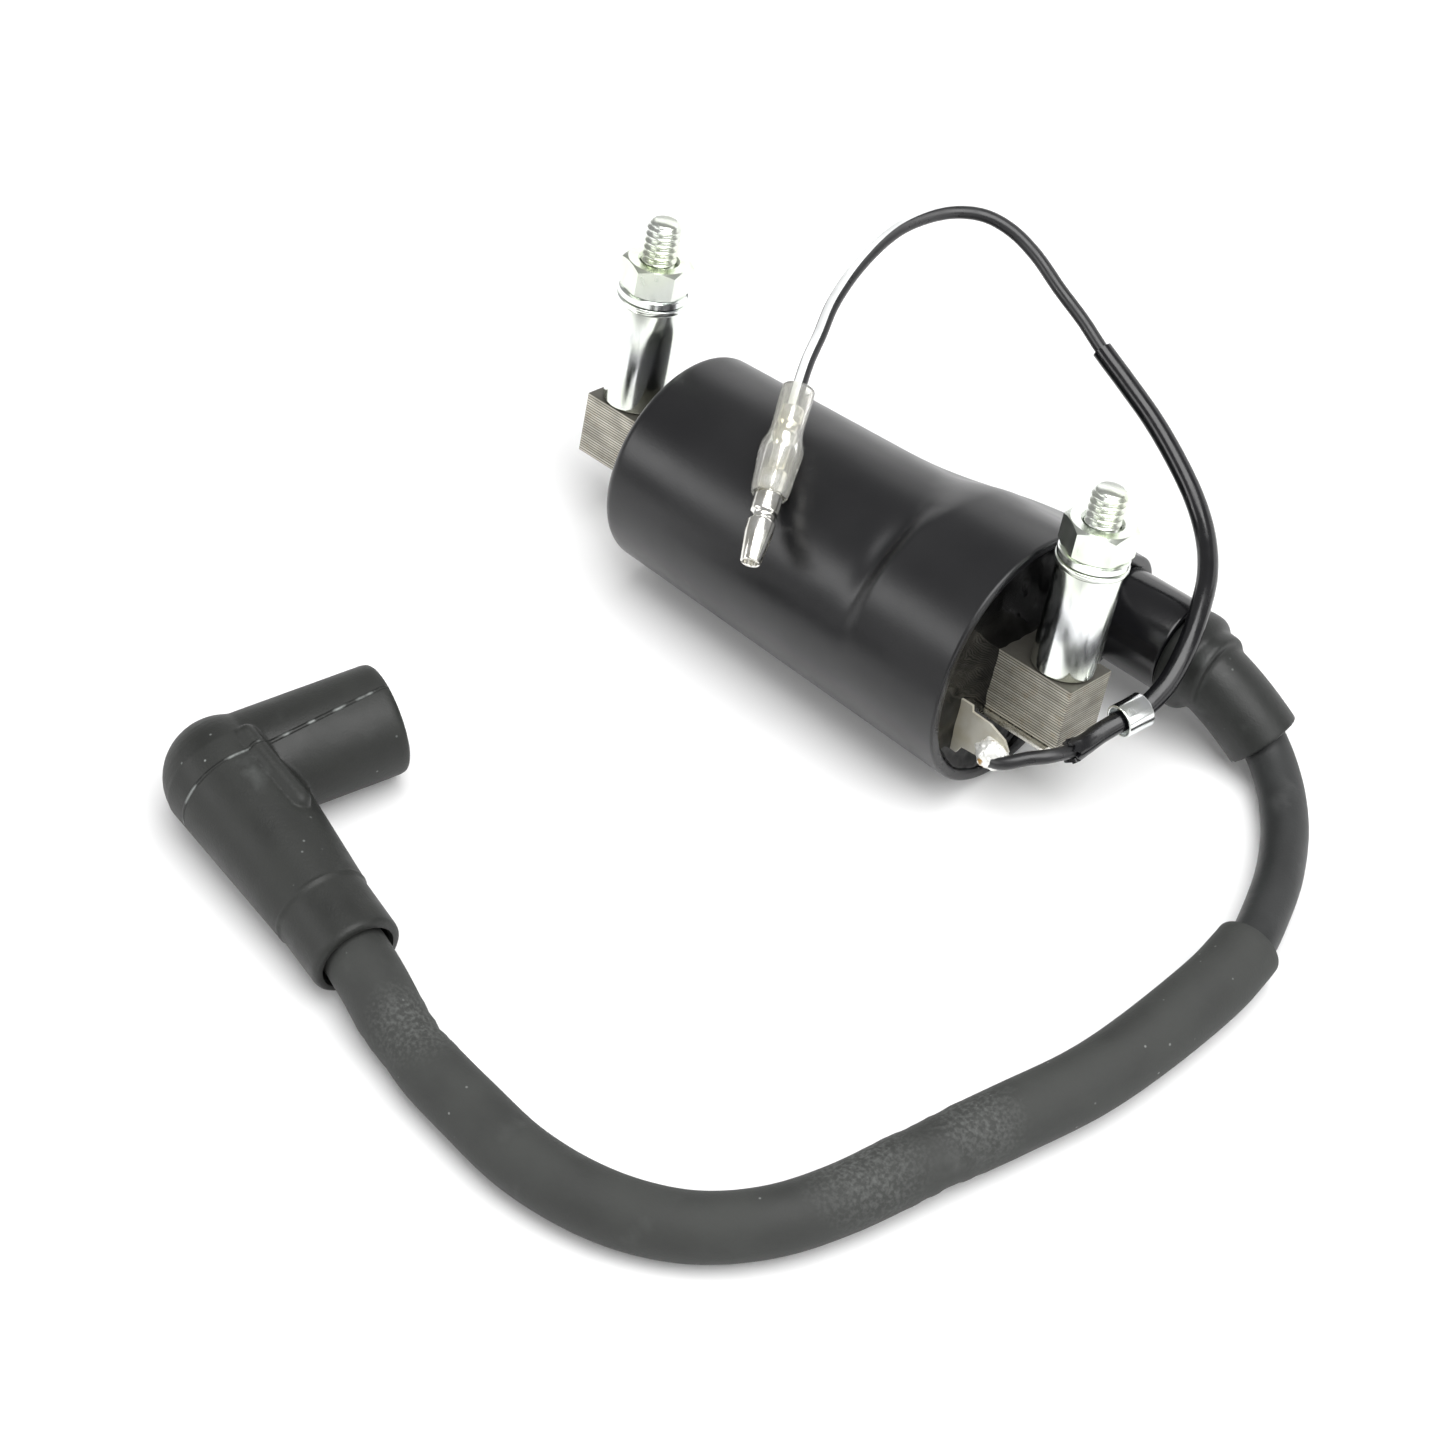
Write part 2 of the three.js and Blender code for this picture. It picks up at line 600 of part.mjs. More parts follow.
function solder() {
  const lump = new THREE.SphereGeometry(1, 16, 10).scale(3, 2.3, 2.7).translate(97, -13.2, -7.6);
  const front = block([90, 104], [-16, TAG_Y[0] - 0.05], [-14, 0]);
  return toSolid(common(lump, front));
}

function addWire() {
  const wire = cord(wirePath, [0, WIRE_STEPS], WIRE_RADIUS, 8);
  add(table, "lt_wire", wire, BLACK_RUBBER);
  const sheath = hollowCord(wirePath, SHEATH_STEPS, SHEATH_RADII[0], SHEATH_RADII[1], 8);
  add(table, "lt_sheath", sheath, BLACK_RUBBER);
  const ring = pipe(2.95, 2.45, 0, 5.25);
  add(table, "clip_ring", pointed(ring, RING_ENDS[0], RING_ENDS[1]), ZINC);
  const channel = cord(wirePath, [WIRE_STEPS - 3, WIRE_STEPS], WIRE_RADIUS + 0.15, 8);
  const back = coil.matrix.clone().invert();
  const hole = toSolid(channel.applyMatrix4(back));
  add(coil, "solder_joint", toGeometry(solder().subtract(hole)), TIN);
}

addCore();
addStudStack("rear", 0, REAR_NUT_TURN);
addStudStack("front", STUD_SPACING, FRONT_NUT_TURN);
addCasing();
addWindings();
addContacts();
addLead();
add(table, "tower_boot", boot(), BLACK_RUBBER);
addPlugCap();
addConnector();
addWire();

export default root;
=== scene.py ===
"""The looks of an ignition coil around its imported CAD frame.

Shapes are written in millimetres, in the two frames that part.mjs uses. The coil frame has x along
the core, z along the studs and y towards the tower. The table frame has z = 0 on the table top.
Two matrices, COIL and TABLE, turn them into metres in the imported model's frame.
"""

import math

import bmesh
import bpy
import numpy as np
from mathutils import Matrix, Vector, noise


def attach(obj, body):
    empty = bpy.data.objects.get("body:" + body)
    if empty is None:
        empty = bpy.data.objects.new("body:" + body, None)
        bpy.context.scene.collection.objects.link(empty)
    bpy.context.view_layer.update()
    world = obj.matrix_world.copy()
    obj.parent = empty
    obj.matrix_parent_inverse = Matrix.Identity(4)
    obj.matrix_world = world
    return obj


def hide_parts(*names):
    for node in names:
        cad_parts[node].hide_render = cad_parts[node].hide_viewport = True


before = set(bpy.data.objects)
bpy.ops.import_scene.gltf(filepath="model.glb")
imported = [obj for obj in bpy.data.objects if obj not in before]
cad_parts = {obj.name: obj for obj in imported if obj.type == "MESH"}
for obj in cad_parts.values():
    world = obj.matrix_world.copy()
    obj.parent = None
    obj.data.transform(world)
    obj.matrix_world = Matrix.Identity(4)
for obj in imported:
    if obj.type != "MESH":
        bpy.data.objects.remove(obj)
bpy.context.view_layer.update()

# ---- frames

MM = 0.001
BASE_CENTRE = (59.838, 7.489, 0)
COIL_HEIGHT = 18.432
COIL_ROLL = math.radians(-16.5)
COIL_PITCH = math.radians(-1.9)
TABLE = Matrix.Scale(MM, 4) @ Matrix.Translation(-Vector(BASE_CENTRE))
COIL = (
    TABLE
    @ Matrix.Translation((0, 0, COIL_HEIGHT))
    @ Matrix.Rotation(COIL_PITCH, 4, "Y")
    @ Matrix.Rotation(COIL_ROLL, 4, "X")
)
ALONG_X = Matrix(((0, 0, 1, 0), (0, 1, 0, 0), (-1, 0, 0, 0), (0, 0, 0, 1)))

# ---- sizes, in millimetres

STUD_SPACING = 98.1
PLATES = 24
PLATE_PITCH = 0.49
STUD_RADIUS = 3.06
STUD_TOPS = {"rear": 41.5, "front": 40.2}
STUD_HEAD_RADIUS = 4.4
STUD_HEAD_Z = (-7.15, -5.93)
THREAD_PITCH = 1.27
THREAD_DEPTH = 0.62
THREAD_START = 26.5
SPACER_Z = (5.95, 26.0)
SPACER_RADIUS = 5.63
LOOSE_BORE = 3.3
WASHER_Z = (26.05, 27.05)
WASHER_RADIUS = 6.25
LOCK_WASHER_Z = (27.1, 28.6)
LOCK_WASHER_RADIUS = 6.1
NUT_Z = (28.65, 34.15)
NUT_FLATS = 11.1
NUT_TURNS = {"rear": 9, "front": -3}

CASING_X = (12.34, 90.06)
CASING_RADII = (19.7, 22.3)
CASING_AXIS_Z = 0.9
CASING_WALL = 2.0
LOBE_RADIUS = 9.5
LOBE_Z = 1.7
LOBE_CENTRES = [
    (37, 10.5), (41, 15), (46, 18.5), (52.7, 20.4), (59.3, 23.4), (65.5, 25.6), (71.7, 27), (76, 28),
]
# The crease over the top of the casing: degrees round the barrel, its x and its width.
CREASE_LINE = [
    (40, 66, 14), (64, 67.5, 13), (88, 69, 11), (104, 70, 7), (120, 70, 4), (148, 69.6, 3.4), (185, 69, 3.4),
]
CREASE_RISE = 2.4
RESIN_X = (83.0, 88.3)
RESIN_MIDDLE = (87, 6.0, 1.0)
CORE_HALF = (5.6, 5.9)
TOWER_YZ = (27.6, 1.6)
TOWER_RADII = (8.3, 8.4)
SPIGOT_START = 104.5
SPIGOT_RADIUS = 6.4
TOWER_END = 107.7

LEAD_RADIUS = 4.0
WORN_PLACES = [((139, -68, 11), 9), ((132, -86, 11), 12), ((62.5, -114, 12), 9)]
SLEEVE_RADII = (5.75, 4.3)
SLEEVE_SHARE = (0.272, 38 / 42)
BOOT_RADIUS = 6.6
COLLAR_YZ = (27.4, 0.9)
COLLAR_RADIUS = 8.8
ELBOW = (3.2, -100.1, 10.8)
LEG_END = (43.1, -109.2, 8.1)
LEG_LENGTH = 43.0
BARREL_END = (11.85, -74.75, 10)
BARREL_RADIUS = 9.8
BARREL_LENGTH = 29.6
CAP_RIB = ((5.6, -96.3, 20.2), (20.4, -98.4, 17.4), 1.8)
CAP_SEAM = 4.0

WIRE_RADIUS = 1.2
SHEATH_RADII = (1.8, 1.4)
SHEATH_SHARE = (3 / 40, 21 / 40)
SLEEVE_CENTRE = (43.11, -8.38, 43.61)
CONNECTOR_AXIS = (0.441, -0.841, -0.313)
RING_ENDS = ((108.66, 3.76, 19.56), (109.67, 8.9, 19.3))

# The routes of part.mjs. The low-tension wire's runs the other way here, from its solder joint.
LEAD_ROUTE = [
    (91.16, 26.92, 15.17), (97, 26.92, 15.36), (103.15, 26.92, 15.42), (107.7, 26.95, 14.9),
    (111.6, 27, 13.5), (115.4, 27.1, 11.5), (118.9, 27.1, 9.3), (122.4, 26.8, 7.1),
    (126.1, 25.1, 5.5), (130.7, 21.6, 4.6), (134.3, 17.9, 4.3), (137.6, 13.6, 4.25),
    (142, 6, 4.7), (145.8, -3.5, 5.4), (147.3, -8.3, 5.8), (148, -14.4, 5.9),
    (148.2, -19.4, 5.9), (147, -35.9, 5.9), (144.9, -48.3, 5.9), (140.6, -62.1, 5.9),
    (136.7, -73.6, 5.9), (131.2, -90.6, 5.9), (126.1, -100.7, 5.9), (119, -108.7, 5.9),
    (111.2, -113.6, 5.9), (101.6, -116.8, 5.9), (90.1, -118.2, 5.9), (78.1, -117.2, 5.9),
    (66.4, -115.8, 6), (57.2, -113.7, 6.7), (50.4, -111.4, 7.55),
    (43.1, -109.2, 8.1), (35.1, -107.38, 8.64), (27.14, -105.56, 9.18), (15.2, -102.84, 9.99),
]
BOOT_ROUTE = [
    (107.7, 26.95, 14.9), (111.6, 27, 13.5), (115.4, 27.1, 11.5), (118.9, 27.1, 9.3), (122.8, 27.1, 6.35),
]
WIRE_ROUTE = [
    (97.58, -15.94, 17.86), (99.86, -15.52, 18.64), (102.82, -12.39, 19.48), (105.22, -9.64, 19.68),
    (106.95, -4.51, 18.74), (107.6, 0, 19), (108.66, 3.76, 19.56), (109.67, 8.9, 19.3),
    (110.2, 14.2, 21.4), (108.9, 21, 24.5), (106, 28.2, 26.8), (102.9, 33.8, 27.8),
    (98.2, 39.2, 29), (92.7, 43.2, 31), (86.7, 45.9, 33.7), (79.2, 48.3, 37.1),
    (71.5, 49.8, 40.5), (64.6, 50.9, 43.6), (59.7, 52.1, 45.8), (53.2, 53.1, 48.7),
    (46.3, 54.5, 51.7), (40.8, 54.4, 54), (36.4, 52.8, 55.6), (32.9, 49.5, 56.6),
    (30.3, 45, 57), (28.4, 38.5, 56.8), (28.4, 29, 55.3), (30.1, 20, 53.2),
    (32.5, 13.8, 51.3), (34.2, 9.1, 49.95), (36.49, 4.24, 48.31), (40.24, -2.91, 45.65),
]

# ---- camera

CAMERA_PLACE = (0.25556, -0.32259, 0.44798)
CAMERA_RIGHT = (0.7332, 0.6800, -0.0004)
CAMERA_UP = (-0.512, 0.552, 0.658)
CAMERA_BACK = (0.4476, -0.4820, 0.7532)
CAMERA_LENS = 85.81
CAMERA_SENSOR = 36


def make_camera():
    data = bpy.data.cameras.new("camera")
    data.lens = CAMERA_LENS
    data.sensor_width = CAMERA_SENSOR
    camera = bpy.data.objects.new("camera", data)
    columns = [Vector(v).normalized() for v in (CAMERA_RIGHT, CAMERA_UP, CAMERA_BACK)]
    turn = Matrix(columns).transposed().to_4x4()
    camera.matrix_world = Matrix.Translation(CAMERA_PLACE) @ turn
    bpy.context.collection.objects.link(camera)
    bpy.context.scene.camera = camera


# ---- smooth routes

POINTS_PER_SPAN = 30


class Route:
    """A smooth curve through points, with even steps and frames that don't twist."""

    def __init__(self, points, steps):
        fine = self.through([np.array(point, float) for point in points])
        lengths = np.concatenate([[0], np.cumsum(np.linalg.norm(np.diff(fine, axis=0), axis=1))])
        self.length = lengths[-1]
        self.at = np.linspace(0, self.length, steps + 1)
        self.points = np.stack([np.interp(self.at, lengths, fine[:, axis]) for axis in range(3)], axis=1)
        tangents = np.gradient(self.points, axis=0)
        self.tangents = tangents / np.linalg.norm(tangents, axis=1)[:, None]
        self.sides, self.ups = self.frames()

    @staticmethod
    def through(points):
        padded = [2 * points[0] - points[1], *points, 2 * points[-1] - points[-2]]
        fine = []
        for p0, p1, p2, p3 in zip(padded, padded[1:], padded[2:], padded[3:]):
            t1 = np.linalg.norm(p1 - p0) ** 0.5
            t2 = t1 + np.linalg.norm(p2 - p1) ** 0.5
            t3 = t2 + np.linalg.norm(p3 - p2) ** 0.5
            for t in np.linspace(t1, t2, POINTS_PER_SPAN, endpoint=False):
                a1 = p0 * (t1 - t) / t1 + p1 * t / t1
                a2 = p1 * (t2 - t) / (t2 - t1) + p2 * (t - t1) / (t2 - t1)
                a3 = p2 * (t3 - t) / (t3 - t2) + p3 * (t - t2) / (t3 - t2)
                b1 = a1 * (t2 - t) / t2 + a2 * t / t2
                b2 = a2 * (t3 - t) / (t3 - t1) + a3 * (t - t1) / (t3 - t1)
                fine.append(b1 * (t2 - t) / (t2 - t1) + b2 * (t - t1) / (t2 - t1))
        return np.array([*fine, points[-1]])

    def frames(self):
        side = np.cross(self.tangents[0], (0, 0, 1.0))
        sides = []
        for tangent in self.tangents:
            side = side - tangent * np.dot(side, tangent)
            side = side / np.linalg.norm(side)
            sides.append(side)
        sides = np.array(sides)
        return sides, np.cross(self.tangents, sides)

    def ring(self, step, radius, angles):
        across = np.outer(np.cos(angles), self.sides[step]) + np.outer(np.sin(angles), self.ups[step])
        return self.points[step] + across * np.reshape(radius, (-1, 1))


def around(sides):
    return np.linspace(0, 2 * math.pi, sides, endpoint=False)


def smoothstep(value, low, high):
    share = np.clip((np.asarray(value, float) - low) / (high - low), 0, 1)
    return share * share * (3 - 2 * share)


def bell(value, centre, width):
    return np.exp(-(((np.asarray(value, float) - centre) / width) ** 2))


def ripple(point, scale, seed=0.0):
    return noise.noise(Vector(point) * scale + Vector((seed, seed * 1.7, -seed)))


# ---- mesh building


def skinned(rows, looped=False):
    """Quads between rings of the same size; the ends are capped, or the last row joins the first."""
    sides = len(rows[0])
    vertices = [tuple(point) for row in rows for point in row]
    faces = []
    for row in range(len(rows) if looped else len(rows) - 1):
        start = row * sides
        after = ((row + 1) % len(rows)) * sides
        for side in range(sides):
            beside = (side + 1) % sides
            faces.append((start + side, start + beside, after + beside, after + side))
    if not looped:
        faces.append(tuple(reversed(range(sides))))
        faces.append(tuple(range((len(rows) - 1) * sides, len(rows) * sides)))
    return vertices, faces


def rounded(profile, radius, steps=4):
    """Replaces each corner of an open profile of (r, z) by a short arc."""
    points = [np.array(point, float) for point in profile]
    result = [points[0]]
    for before, corner, after in zip(points, points[1:], points[2:]):
        into, out = before - corner, after - corner
        reach = min(radius, np.linalg.norm(into) * 0.45, np.linalg.norm(out) * 0.45)
        start = corner + into / np.linalg.norm(into) * reach
        end = corner + out / np.linalg.norm(out) * reach
        for t in np.linspace(0, 1, steps):
            result.append((1 - t) ** 2 * start + 2 * t * (1 - t) * corner + t * t * end)
    return [*result, points[-1]]


def level_ring(radius, z, angles):
    """A ring about +Z, whose radius and height may differ from point to point."""
    radius, z = np.broadcast_to(radius, len(angles)), np.broadcast_to(z, len(angles))
    return np.stack([radius * np.cos(angles), radius * np.sin(angles), z], axis=1)


def lathe(profile, sides=64, looped=False):
    """Turned about +Z. An open profile gets flat caps, a looped one is a ring."""
    angles = around(sides)
    return skinned([level_ring(radius, z, angles) for radius, z in profile], looped)


def tube_ring(outer, inner, low, high, edge=0.25, sides=64):
    """A short pipe with rounded edges."""
    middle = (low + high) / 2
    profile = [(outer, middle), (outer, high), (inner, high), (inner, low), (outer, low), (outer, middle)]
    return lathe(rounded(profile, edge)[:-1], sides, looped=True)


def pointed(start, towards):
    direction = (Vector(towards) - Vector(start)).normalized()
    turn = Vector((0, 0, 1)).rotation_difference(direction)
    return TABLE @ Matrix.Translation(start) @ turn.to_matrix().to_4x4()


def at_stud(x):
    return COIL @ Matrix.Translation((x, 0, 0))


def along_coil(centre):
    """A frame whose +Z runs along the coil, through a centre given as (y, z)."""
    return COIL @ Matrix.Translation((0, *centre)) @ ALONG_X


def mesh_object(name, shape, matrix):
    vertices, faces = shape
    mesh = bpy.data.meshes.new(name)
    mesh.from_pydata([matrix @ Vector(vertex) for vertex in vertices], [], faces)
    tidy = bmesh.new()
    tidy.from_mesh(mesh)
    bmesh.ops.recalc_face_normals(tidy, faces=tidy.faces)
    tidy.to_mesh(mesh)
    tidy.free()
    piece = bpy.data.objects.new(name, mesh)
    bpy.context.collection.objects.link(piece)
    return piece


def shade(piece, sharp_angle=35):
    piece.data.shade_smooth()
    piece.data.set_sharp_from_angle(angle=math.radians(sharp_angle))


def apply_modifiers(piece):
    graph = bpy.context.evaluated_depsgraph_get()
    made = bpy.data.meshes.new_from_object(piece.evaluated_get(graph), depsgraph=graph)
    piece.modifiers.clear()
    piece.data = made
    return piece


def combined(piece, tool, operation):
    """Joins or cuts a piece with a tool, which is used up."""
    modifier = piece.modifiers.new("combine", "BOOLEAN")
    modifier.operation = operation
    modifier.solver = "EXACT"
    modifier.object = tool
    apply_modifiers(piece)
    bpy.data.objects.remove(tool)
    return piece


def fused(name, shapes, voxel, passes):
    """One moulded skin over overlapping closed shapes, with its inner corners softened."""
    piece = mesh_object(name, *shapes[0])
    joined = bmesh.new()
    joined.from_mesh(piece.data)
    for shape, matrix in shapes[1:]:
        other = mesh_object(name + "_part", shape, matrix)
        joined.from_mesh(other.data)
        bpy.data.objects.remove(other)
    joined.to_mesh(piece.data)
    joined.free()
    remesh = piece.modifiers.new("remesh", "REMESH")
    remesh.mode = "VOXEL"
    remesh.voxel_size = voxel * MM
    soften = piece.modifiers.new("soften", "SMOOTH")
    soften.factor = 0.5
    soften.iterations = passes
    return apply_modifiers(piece)


def finished(piece, body, nodes=(), materials=(), sharp_angle=35):
    """Shades a piece, gives it its materials and says what it rides on and stands for."""
    shade(piece, sharp_angle)
    if materials:
        kept = [polygon.material_index for polygon in piece.data.polygons]
        piece.data.materials.clear()
        for material in materials:
            piece.data.materials.append(material)
        if len(materials) > 1:
            piece.data.polygons.foreach_set("material_index", kept)
    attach(piece, body)
    if nodes:
        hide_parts(*nodes)
    return piece


# ---- materials


class Look:
    """A procedural material around one Principled shader, in object coordinates."""

    def __init__(self, name, colour, roughness, metallic=0.0, **sockets):
        self.material = bpy.data.materials.new(name)
        self.material.use_nodes = True
        self.tree = self.material.node_tree
        self.shader = self.tree.nodes["Principled BSDF"]
        self.place = self.tree.nodes.new("ShaderNodeTexCoord").outputs["Object"]
        self.shader.inputs["Base Color"].default_value = (*colour, 1)
        self.shader.inputs["Roughness"].default_value = roughness
        self.shader.inputs["Metallic"].default_value = metallic
        for socket, value in sockets.items():
            self.shader.inputs[socket.replace("_", " ")].default_value = value

    def node(self, kind, links, **settings):
        made = self.tree.nodes.new(kind)
        for setting, value in settings.items():
            setattr(made, setting, value)
        for socket, value in links.items():
            if isinstance(value, bpy.types.NodeSocket):
                self.tree.links.new(value, made.inputs[socket])
            else:
                made.inputs[socket].default_value = value
        return made

    def stretched(self, scale, rotation=(0, 0, 0)):
        links = {"Vector": self.place, "Scale": scale, "Rotation": rotation}
        return self.node("ShaderNodeMapping", links).outputs["Vector"]

    def grain(self, scale, detail=4.0, place=None):
        links = {"Vector": place or self.place, "Scale": scale, "Detail": detail}
        return self.node("ShaderNodeTexNoise", links).outputs["Fac"]

    def cells(self, scale):
        links = {"Vector": self.place, "Scale": scale}
        return self.node("ShaderNodeTexVoronoi", links).outputs["Distance"]

    def waves(self, scale, distortion, place=None):
        links = {"Vector": place or self.place, "Scale": scale, "Distortion": distortion, "Detail": 2.0}
        made = self.node("ShaderNodeTexWave", links, bands_direction="Z")
        return made.outputs["Fac"]

    def spread(self, value, low, high, to_low=0.0, to_high=1.0):
        links = {"Value": value, "From Min": low, "From Max": high, "To Min": to_low, "To Max": to_high}
        return self.node("ShaderNodeMapRange", links).outputs["Result"]

    def times(self, first, second):
        return self.math("MULTIPLY", first, second)

    def mixed(self, factor, first, second):
        made = self.node("ShaderNodeMix", {}, data_type="RGBA")
        self.tree.links.new(factor, made.inputs[0])
        for index, colour in ((6, first), (7, second)):
            if isinstance(colour, bpy.types.NodeSocket):
                self.tree.links.new(colour, made.inputs[index])
            else:
                made.inputs[index].default_value = (*colour, 1)
        return made.outputs[2]

    def colour(self, value):
        self.tree.links.new(value, self.shader.inputs["Base Color"])
        return self

    def roughness(self, value):
        self.tree.links.new(value, self.shader.inputs["Roughness"])
        return self

    def math(self, operation, first, second=0.0):
        made = self.node("ShaderNodeMath", {}, operation=operation)
        for index, value in enumerate((first, second)):
            if isinstance(value, bpy.types.NodeSocket):
                self.tree.links.new(value, made.inputs[index])
            else:
                made.inputs[index].default_value = value
        return made.outputs[0]

    def along(self, direction, start):
        """Distance in metres along a direction from a starting value."""
        made = self.node("ShaderNodeVectorMath", {}, operation="DOT_PRODUCT")
        self.tree.links.new(self.place, made.inputs[0])
        made.inputs[1].default_value = direction
        return self.math("SUBTRACT", made.outputs["Value"], start)

    def layer(self, direction, start, pitch):
        """Runs from 0 to 1 over each layer of a stack."""
        return self.math("FRACT", self.math("DIVIDE", self.along(direction, start), pitch))

    def away(self, value, centre):
        return self.math("ABSOLUTE", self.math("SUBTRACT", value, centre))

    def near(self, point, reach):
        """1 at a point, falling to 0 at a reach in metres."""
        made = self.node("ShaderNodeVectorMath", {}, operation="DISTANCE")
        self.tree.links.new(self.place, made.inputs[0])
        made.inputs[1].default_value = point
        return self.spread(made.outputs["Value"], reach, reach * 0.3)

    def bumps(self, *layers):
        """Each layer is (height, depth in mm)."""
        normal = None
        for height, depth in layers:
            links = {"Height": height, "Distance": depth * MM, "Strength": 1.0}
            if normal is not None:
                links["Normal"] = normal
            normal = self.node("ShaderNodeBump", links).outputs["Normal"]
        self.tree.links.new(normal, self.shader.inputs["Normal"])
        return self


def rubber(name, base, dust, roughness, specks=0.5, grain=0.03, seams=(), worn=()):
    """A seam is a raised line across a direction, a worn place is a scuffed patch round a point."""
    look = Look(name, base, roughness, Specular_IOR_Level=0.45)
    clouds = look.grain(90, 5)
    tint = look.mixed(look.spread(clouds, 0.35, 0.7), base, [c * 1.5 for c in base])
    scuffs = look.times(look.spread(look.grain(160, 8), 0.6, 0.78), look.spread(look.grain(40), 0.5, 0.65))
    dusty = look.mixed(look.times(scuffs, 0.3), tint, dust)
    heights = [(look.grain(2600, 3), grain), (look.grain(500, 4), grain * 1.2)]
    for direction, start in seams:
        line = look.spread(look.away(look.along(direction, start), 0), 0.38 * MM, 0.12 * MM)
        powder = look.times(line, look.spread(look.grain(260, 3), 0.5, 0.62))
        dusty = look.mixed(look.times(powder, 0.8), dusty, [c * 1.6 for c in dust])
        heights.append((line, 0.3))
    for point, reach in worn:
        patch = look.times(look.near(point, reach), look.spread(look.grain(1500, 8), 0.42, 0.68))
        dusty = look.mixed(look.times(patch, 0.55), dusty, dust)
        heights.append((patch, 0.05))
    points = look.spread(look.cells(330), 0.09, 0.04)
    rare = look.spread(look.grain(60, 2), 0.5, 0.6)
    look.colour(look.mixed(look.times(look.times(points, rare), specks), dusty, [c * 2.2 for c in dust]))
    look.roughness(look.spread(clouds, 0.3, 0.7, roughness - 0.08, roughness + 0.1))
    look.bumps(*heights)
    return look.material


def cap_material():
    elbow, leg_end = (TABLE @ Vector(point) for point in (ELBOW, LEG_END))
    leg = (leg_end - elbow).normalized()
    seam = (leg, leg.dot(elbow) + CAP_SEAM * MM)
    base, dust = (0.0125, 0.0135, 0.012), (0.16, 0.17, 0.165)
    return rubber("rubber_cap", base, dust, 0.52, 0.9, 0.04, [seam])


def sleeve_material():
    """The sleeve is scuffed at its two pinched places."""
    worn = [(TABLE @ Vector(place), reach * MM) for place, reach in WORN_PLACES]
    base, dust = (0.029, 0.0305, 0.0285), (0.13, 0.135, 0.13)
    return rubber("rubber_sleeve", base, dust, 0.7, 0.6, 0.045, (), worn)


def casing_material():
    base = (0.006, 0.006, 0.007)
    look = Look("casing_black", base, 0.3, Specular_IOR_Level=0.5)
    clouds = look.grain(55, 5)
    points = look.spread(look.cells(260), 0.06, 0.02)
    rare = look.spread(look.grain(45, 2), 0.58, 0.66)
    dull = look.mixed(look.spread(clouds, 0.4, 0.75), base, (0.009, 0.009, 0.01))
    look.colour(look.mixed(look.times(points, rare), dull, (0.12, 0.12, 0.12)))
    front = (COIL.to_3x3() @ Vector((1, 0, 0))).normalized()
    tower = look.spread(look.along(front, front.dot(COIL @ Vector((0, 0, 0)))), 0.0897, 0.0905)
    satin = look.spread(look.grain(70, 6), 0.35, 0.65, 0.3, 0.38)
    look.roughness(look.math("SUBTRACT", satin, look.times(tower, 0.15)))
    look.bumps((look.grain(3200, 2), 0.012), (look.grain(240, 3), 0.012))
    return look.material


def resin_material():
    base = (0.003, 0.003, 0.003)
    look = Look("resin_black", base, 0.1, Specular_IOR_Level=0.25)
    look.colour(look.mixed(look.spread(look.grain(300, 3), 0.5, 0.8), base, (0.006, 0.006, 0.006)))
    look.roughness(look.spread(look.grain(150, 4), 0.4, 0.7, 0.06, 0.2))
    look.bumps((look.grain(180, 2), 0.2))
    return look.material


def zinc_material(name, tint, roughness, streak=0.5):
    look = Look(name, tint, roughness, 1.0)
    lines = look.grain(700, 4, look.stretched((1, 1, 0.05)))
    clouds = look.grain(120, 5)
    darker = [c * 0.72 for c in tint]
    warm = (tint[0] * 0.97, tint[1], tint[2] * 0.86)
    base = look.mixed(look.spread(clouds, 0.4, 0.7), tint, warm)
    look.colour(look.mixed(look.times(look.spread(lines, 0.55, 0.75), streak), base, darker))
    look.roughness(look.spread(lines, 0.3, 0.8, roughness, roughness + 0.13))
    look.bumps((lines, 0.006), (clouds, 0.02))
    return look.material


def lamination_material(name, tint):
    """Stamped steel plates: a dark line at each joint between plates, burrs and brown stains."""
    look = Look(name, tint, 0.45, 0.6)
    up = (COIL.to_3x3() @ Vector((0, 0, 1))).normalized()
    bottom = up.dot(COIL @ Vector((0, 0, -PLATES * PLATE_PITCH / 2)))
    share = look.layer(up, bottom, PLATE_PITCH * MM)
    joint = look.spread(look.away(share, 0.5), 0.22, 0.42)
    clouds = look.grain(240, 6)
    rust = look.spread(look.grain(420, 5), 0.58, 0.75)
    brown = (tint[0] * 0.7, tint[1] * 0.56, tint[2] * 0.4)
    base = look.mixed(look.spread(clouds, 0.35, 0.7), tint, [c * 0.7 for c in tint])
    stained = look.mixed(look.times(rust, 0.5), base, brown)
    look.colour(look.mixed(look.times(joint, 0.9), stained, [c * 0.1 for c in tint]))
    look.roughness(look.spread(clouds, 0.3, 0.7, 0.36, 0.6))
    burrs = look.grain(1500, 3)
    look.bumps((look.spread(joint, 0, 1, 1, 0), 0.06), (burrs, 0.03))
    return look.material


def metal_material(name, tint, roughness, stain=None, metallic=1.0):
    look = Look(name, tint, roughness, metallic)
    clouds = look.grain(260, 6)
    second = stain or [c * 0.7 for c in tint]
    look.colour(look.mixed(look.spread(clouds, 0.45, 0.72), tint, second))
    look.roughness(look.spread(look.grain(500, 4), 0.3, 0.7, roughness - 0.06, roughness + 0.12))
    look.bumps((look.grain(800, 4), 0.02), (clouds, 0.03))
    return look.material


def nylon_material():
    look = Look("nylon_natural", (0.72, 0.69, 0.58), 0.5)
    look.colour(look.mixed(look.spread(look.grain(120, 5), 0.4, 0.7), (0.72, 0.69, 0.58), (0.62, 0.57, 0.44)))
    look.roughness(look.spread(look.grain(300, 4), 0.3, 0.7, 0.42, 0.6))
    look.bumps((look.grain(1500, 3), 0.02))
    return look.material


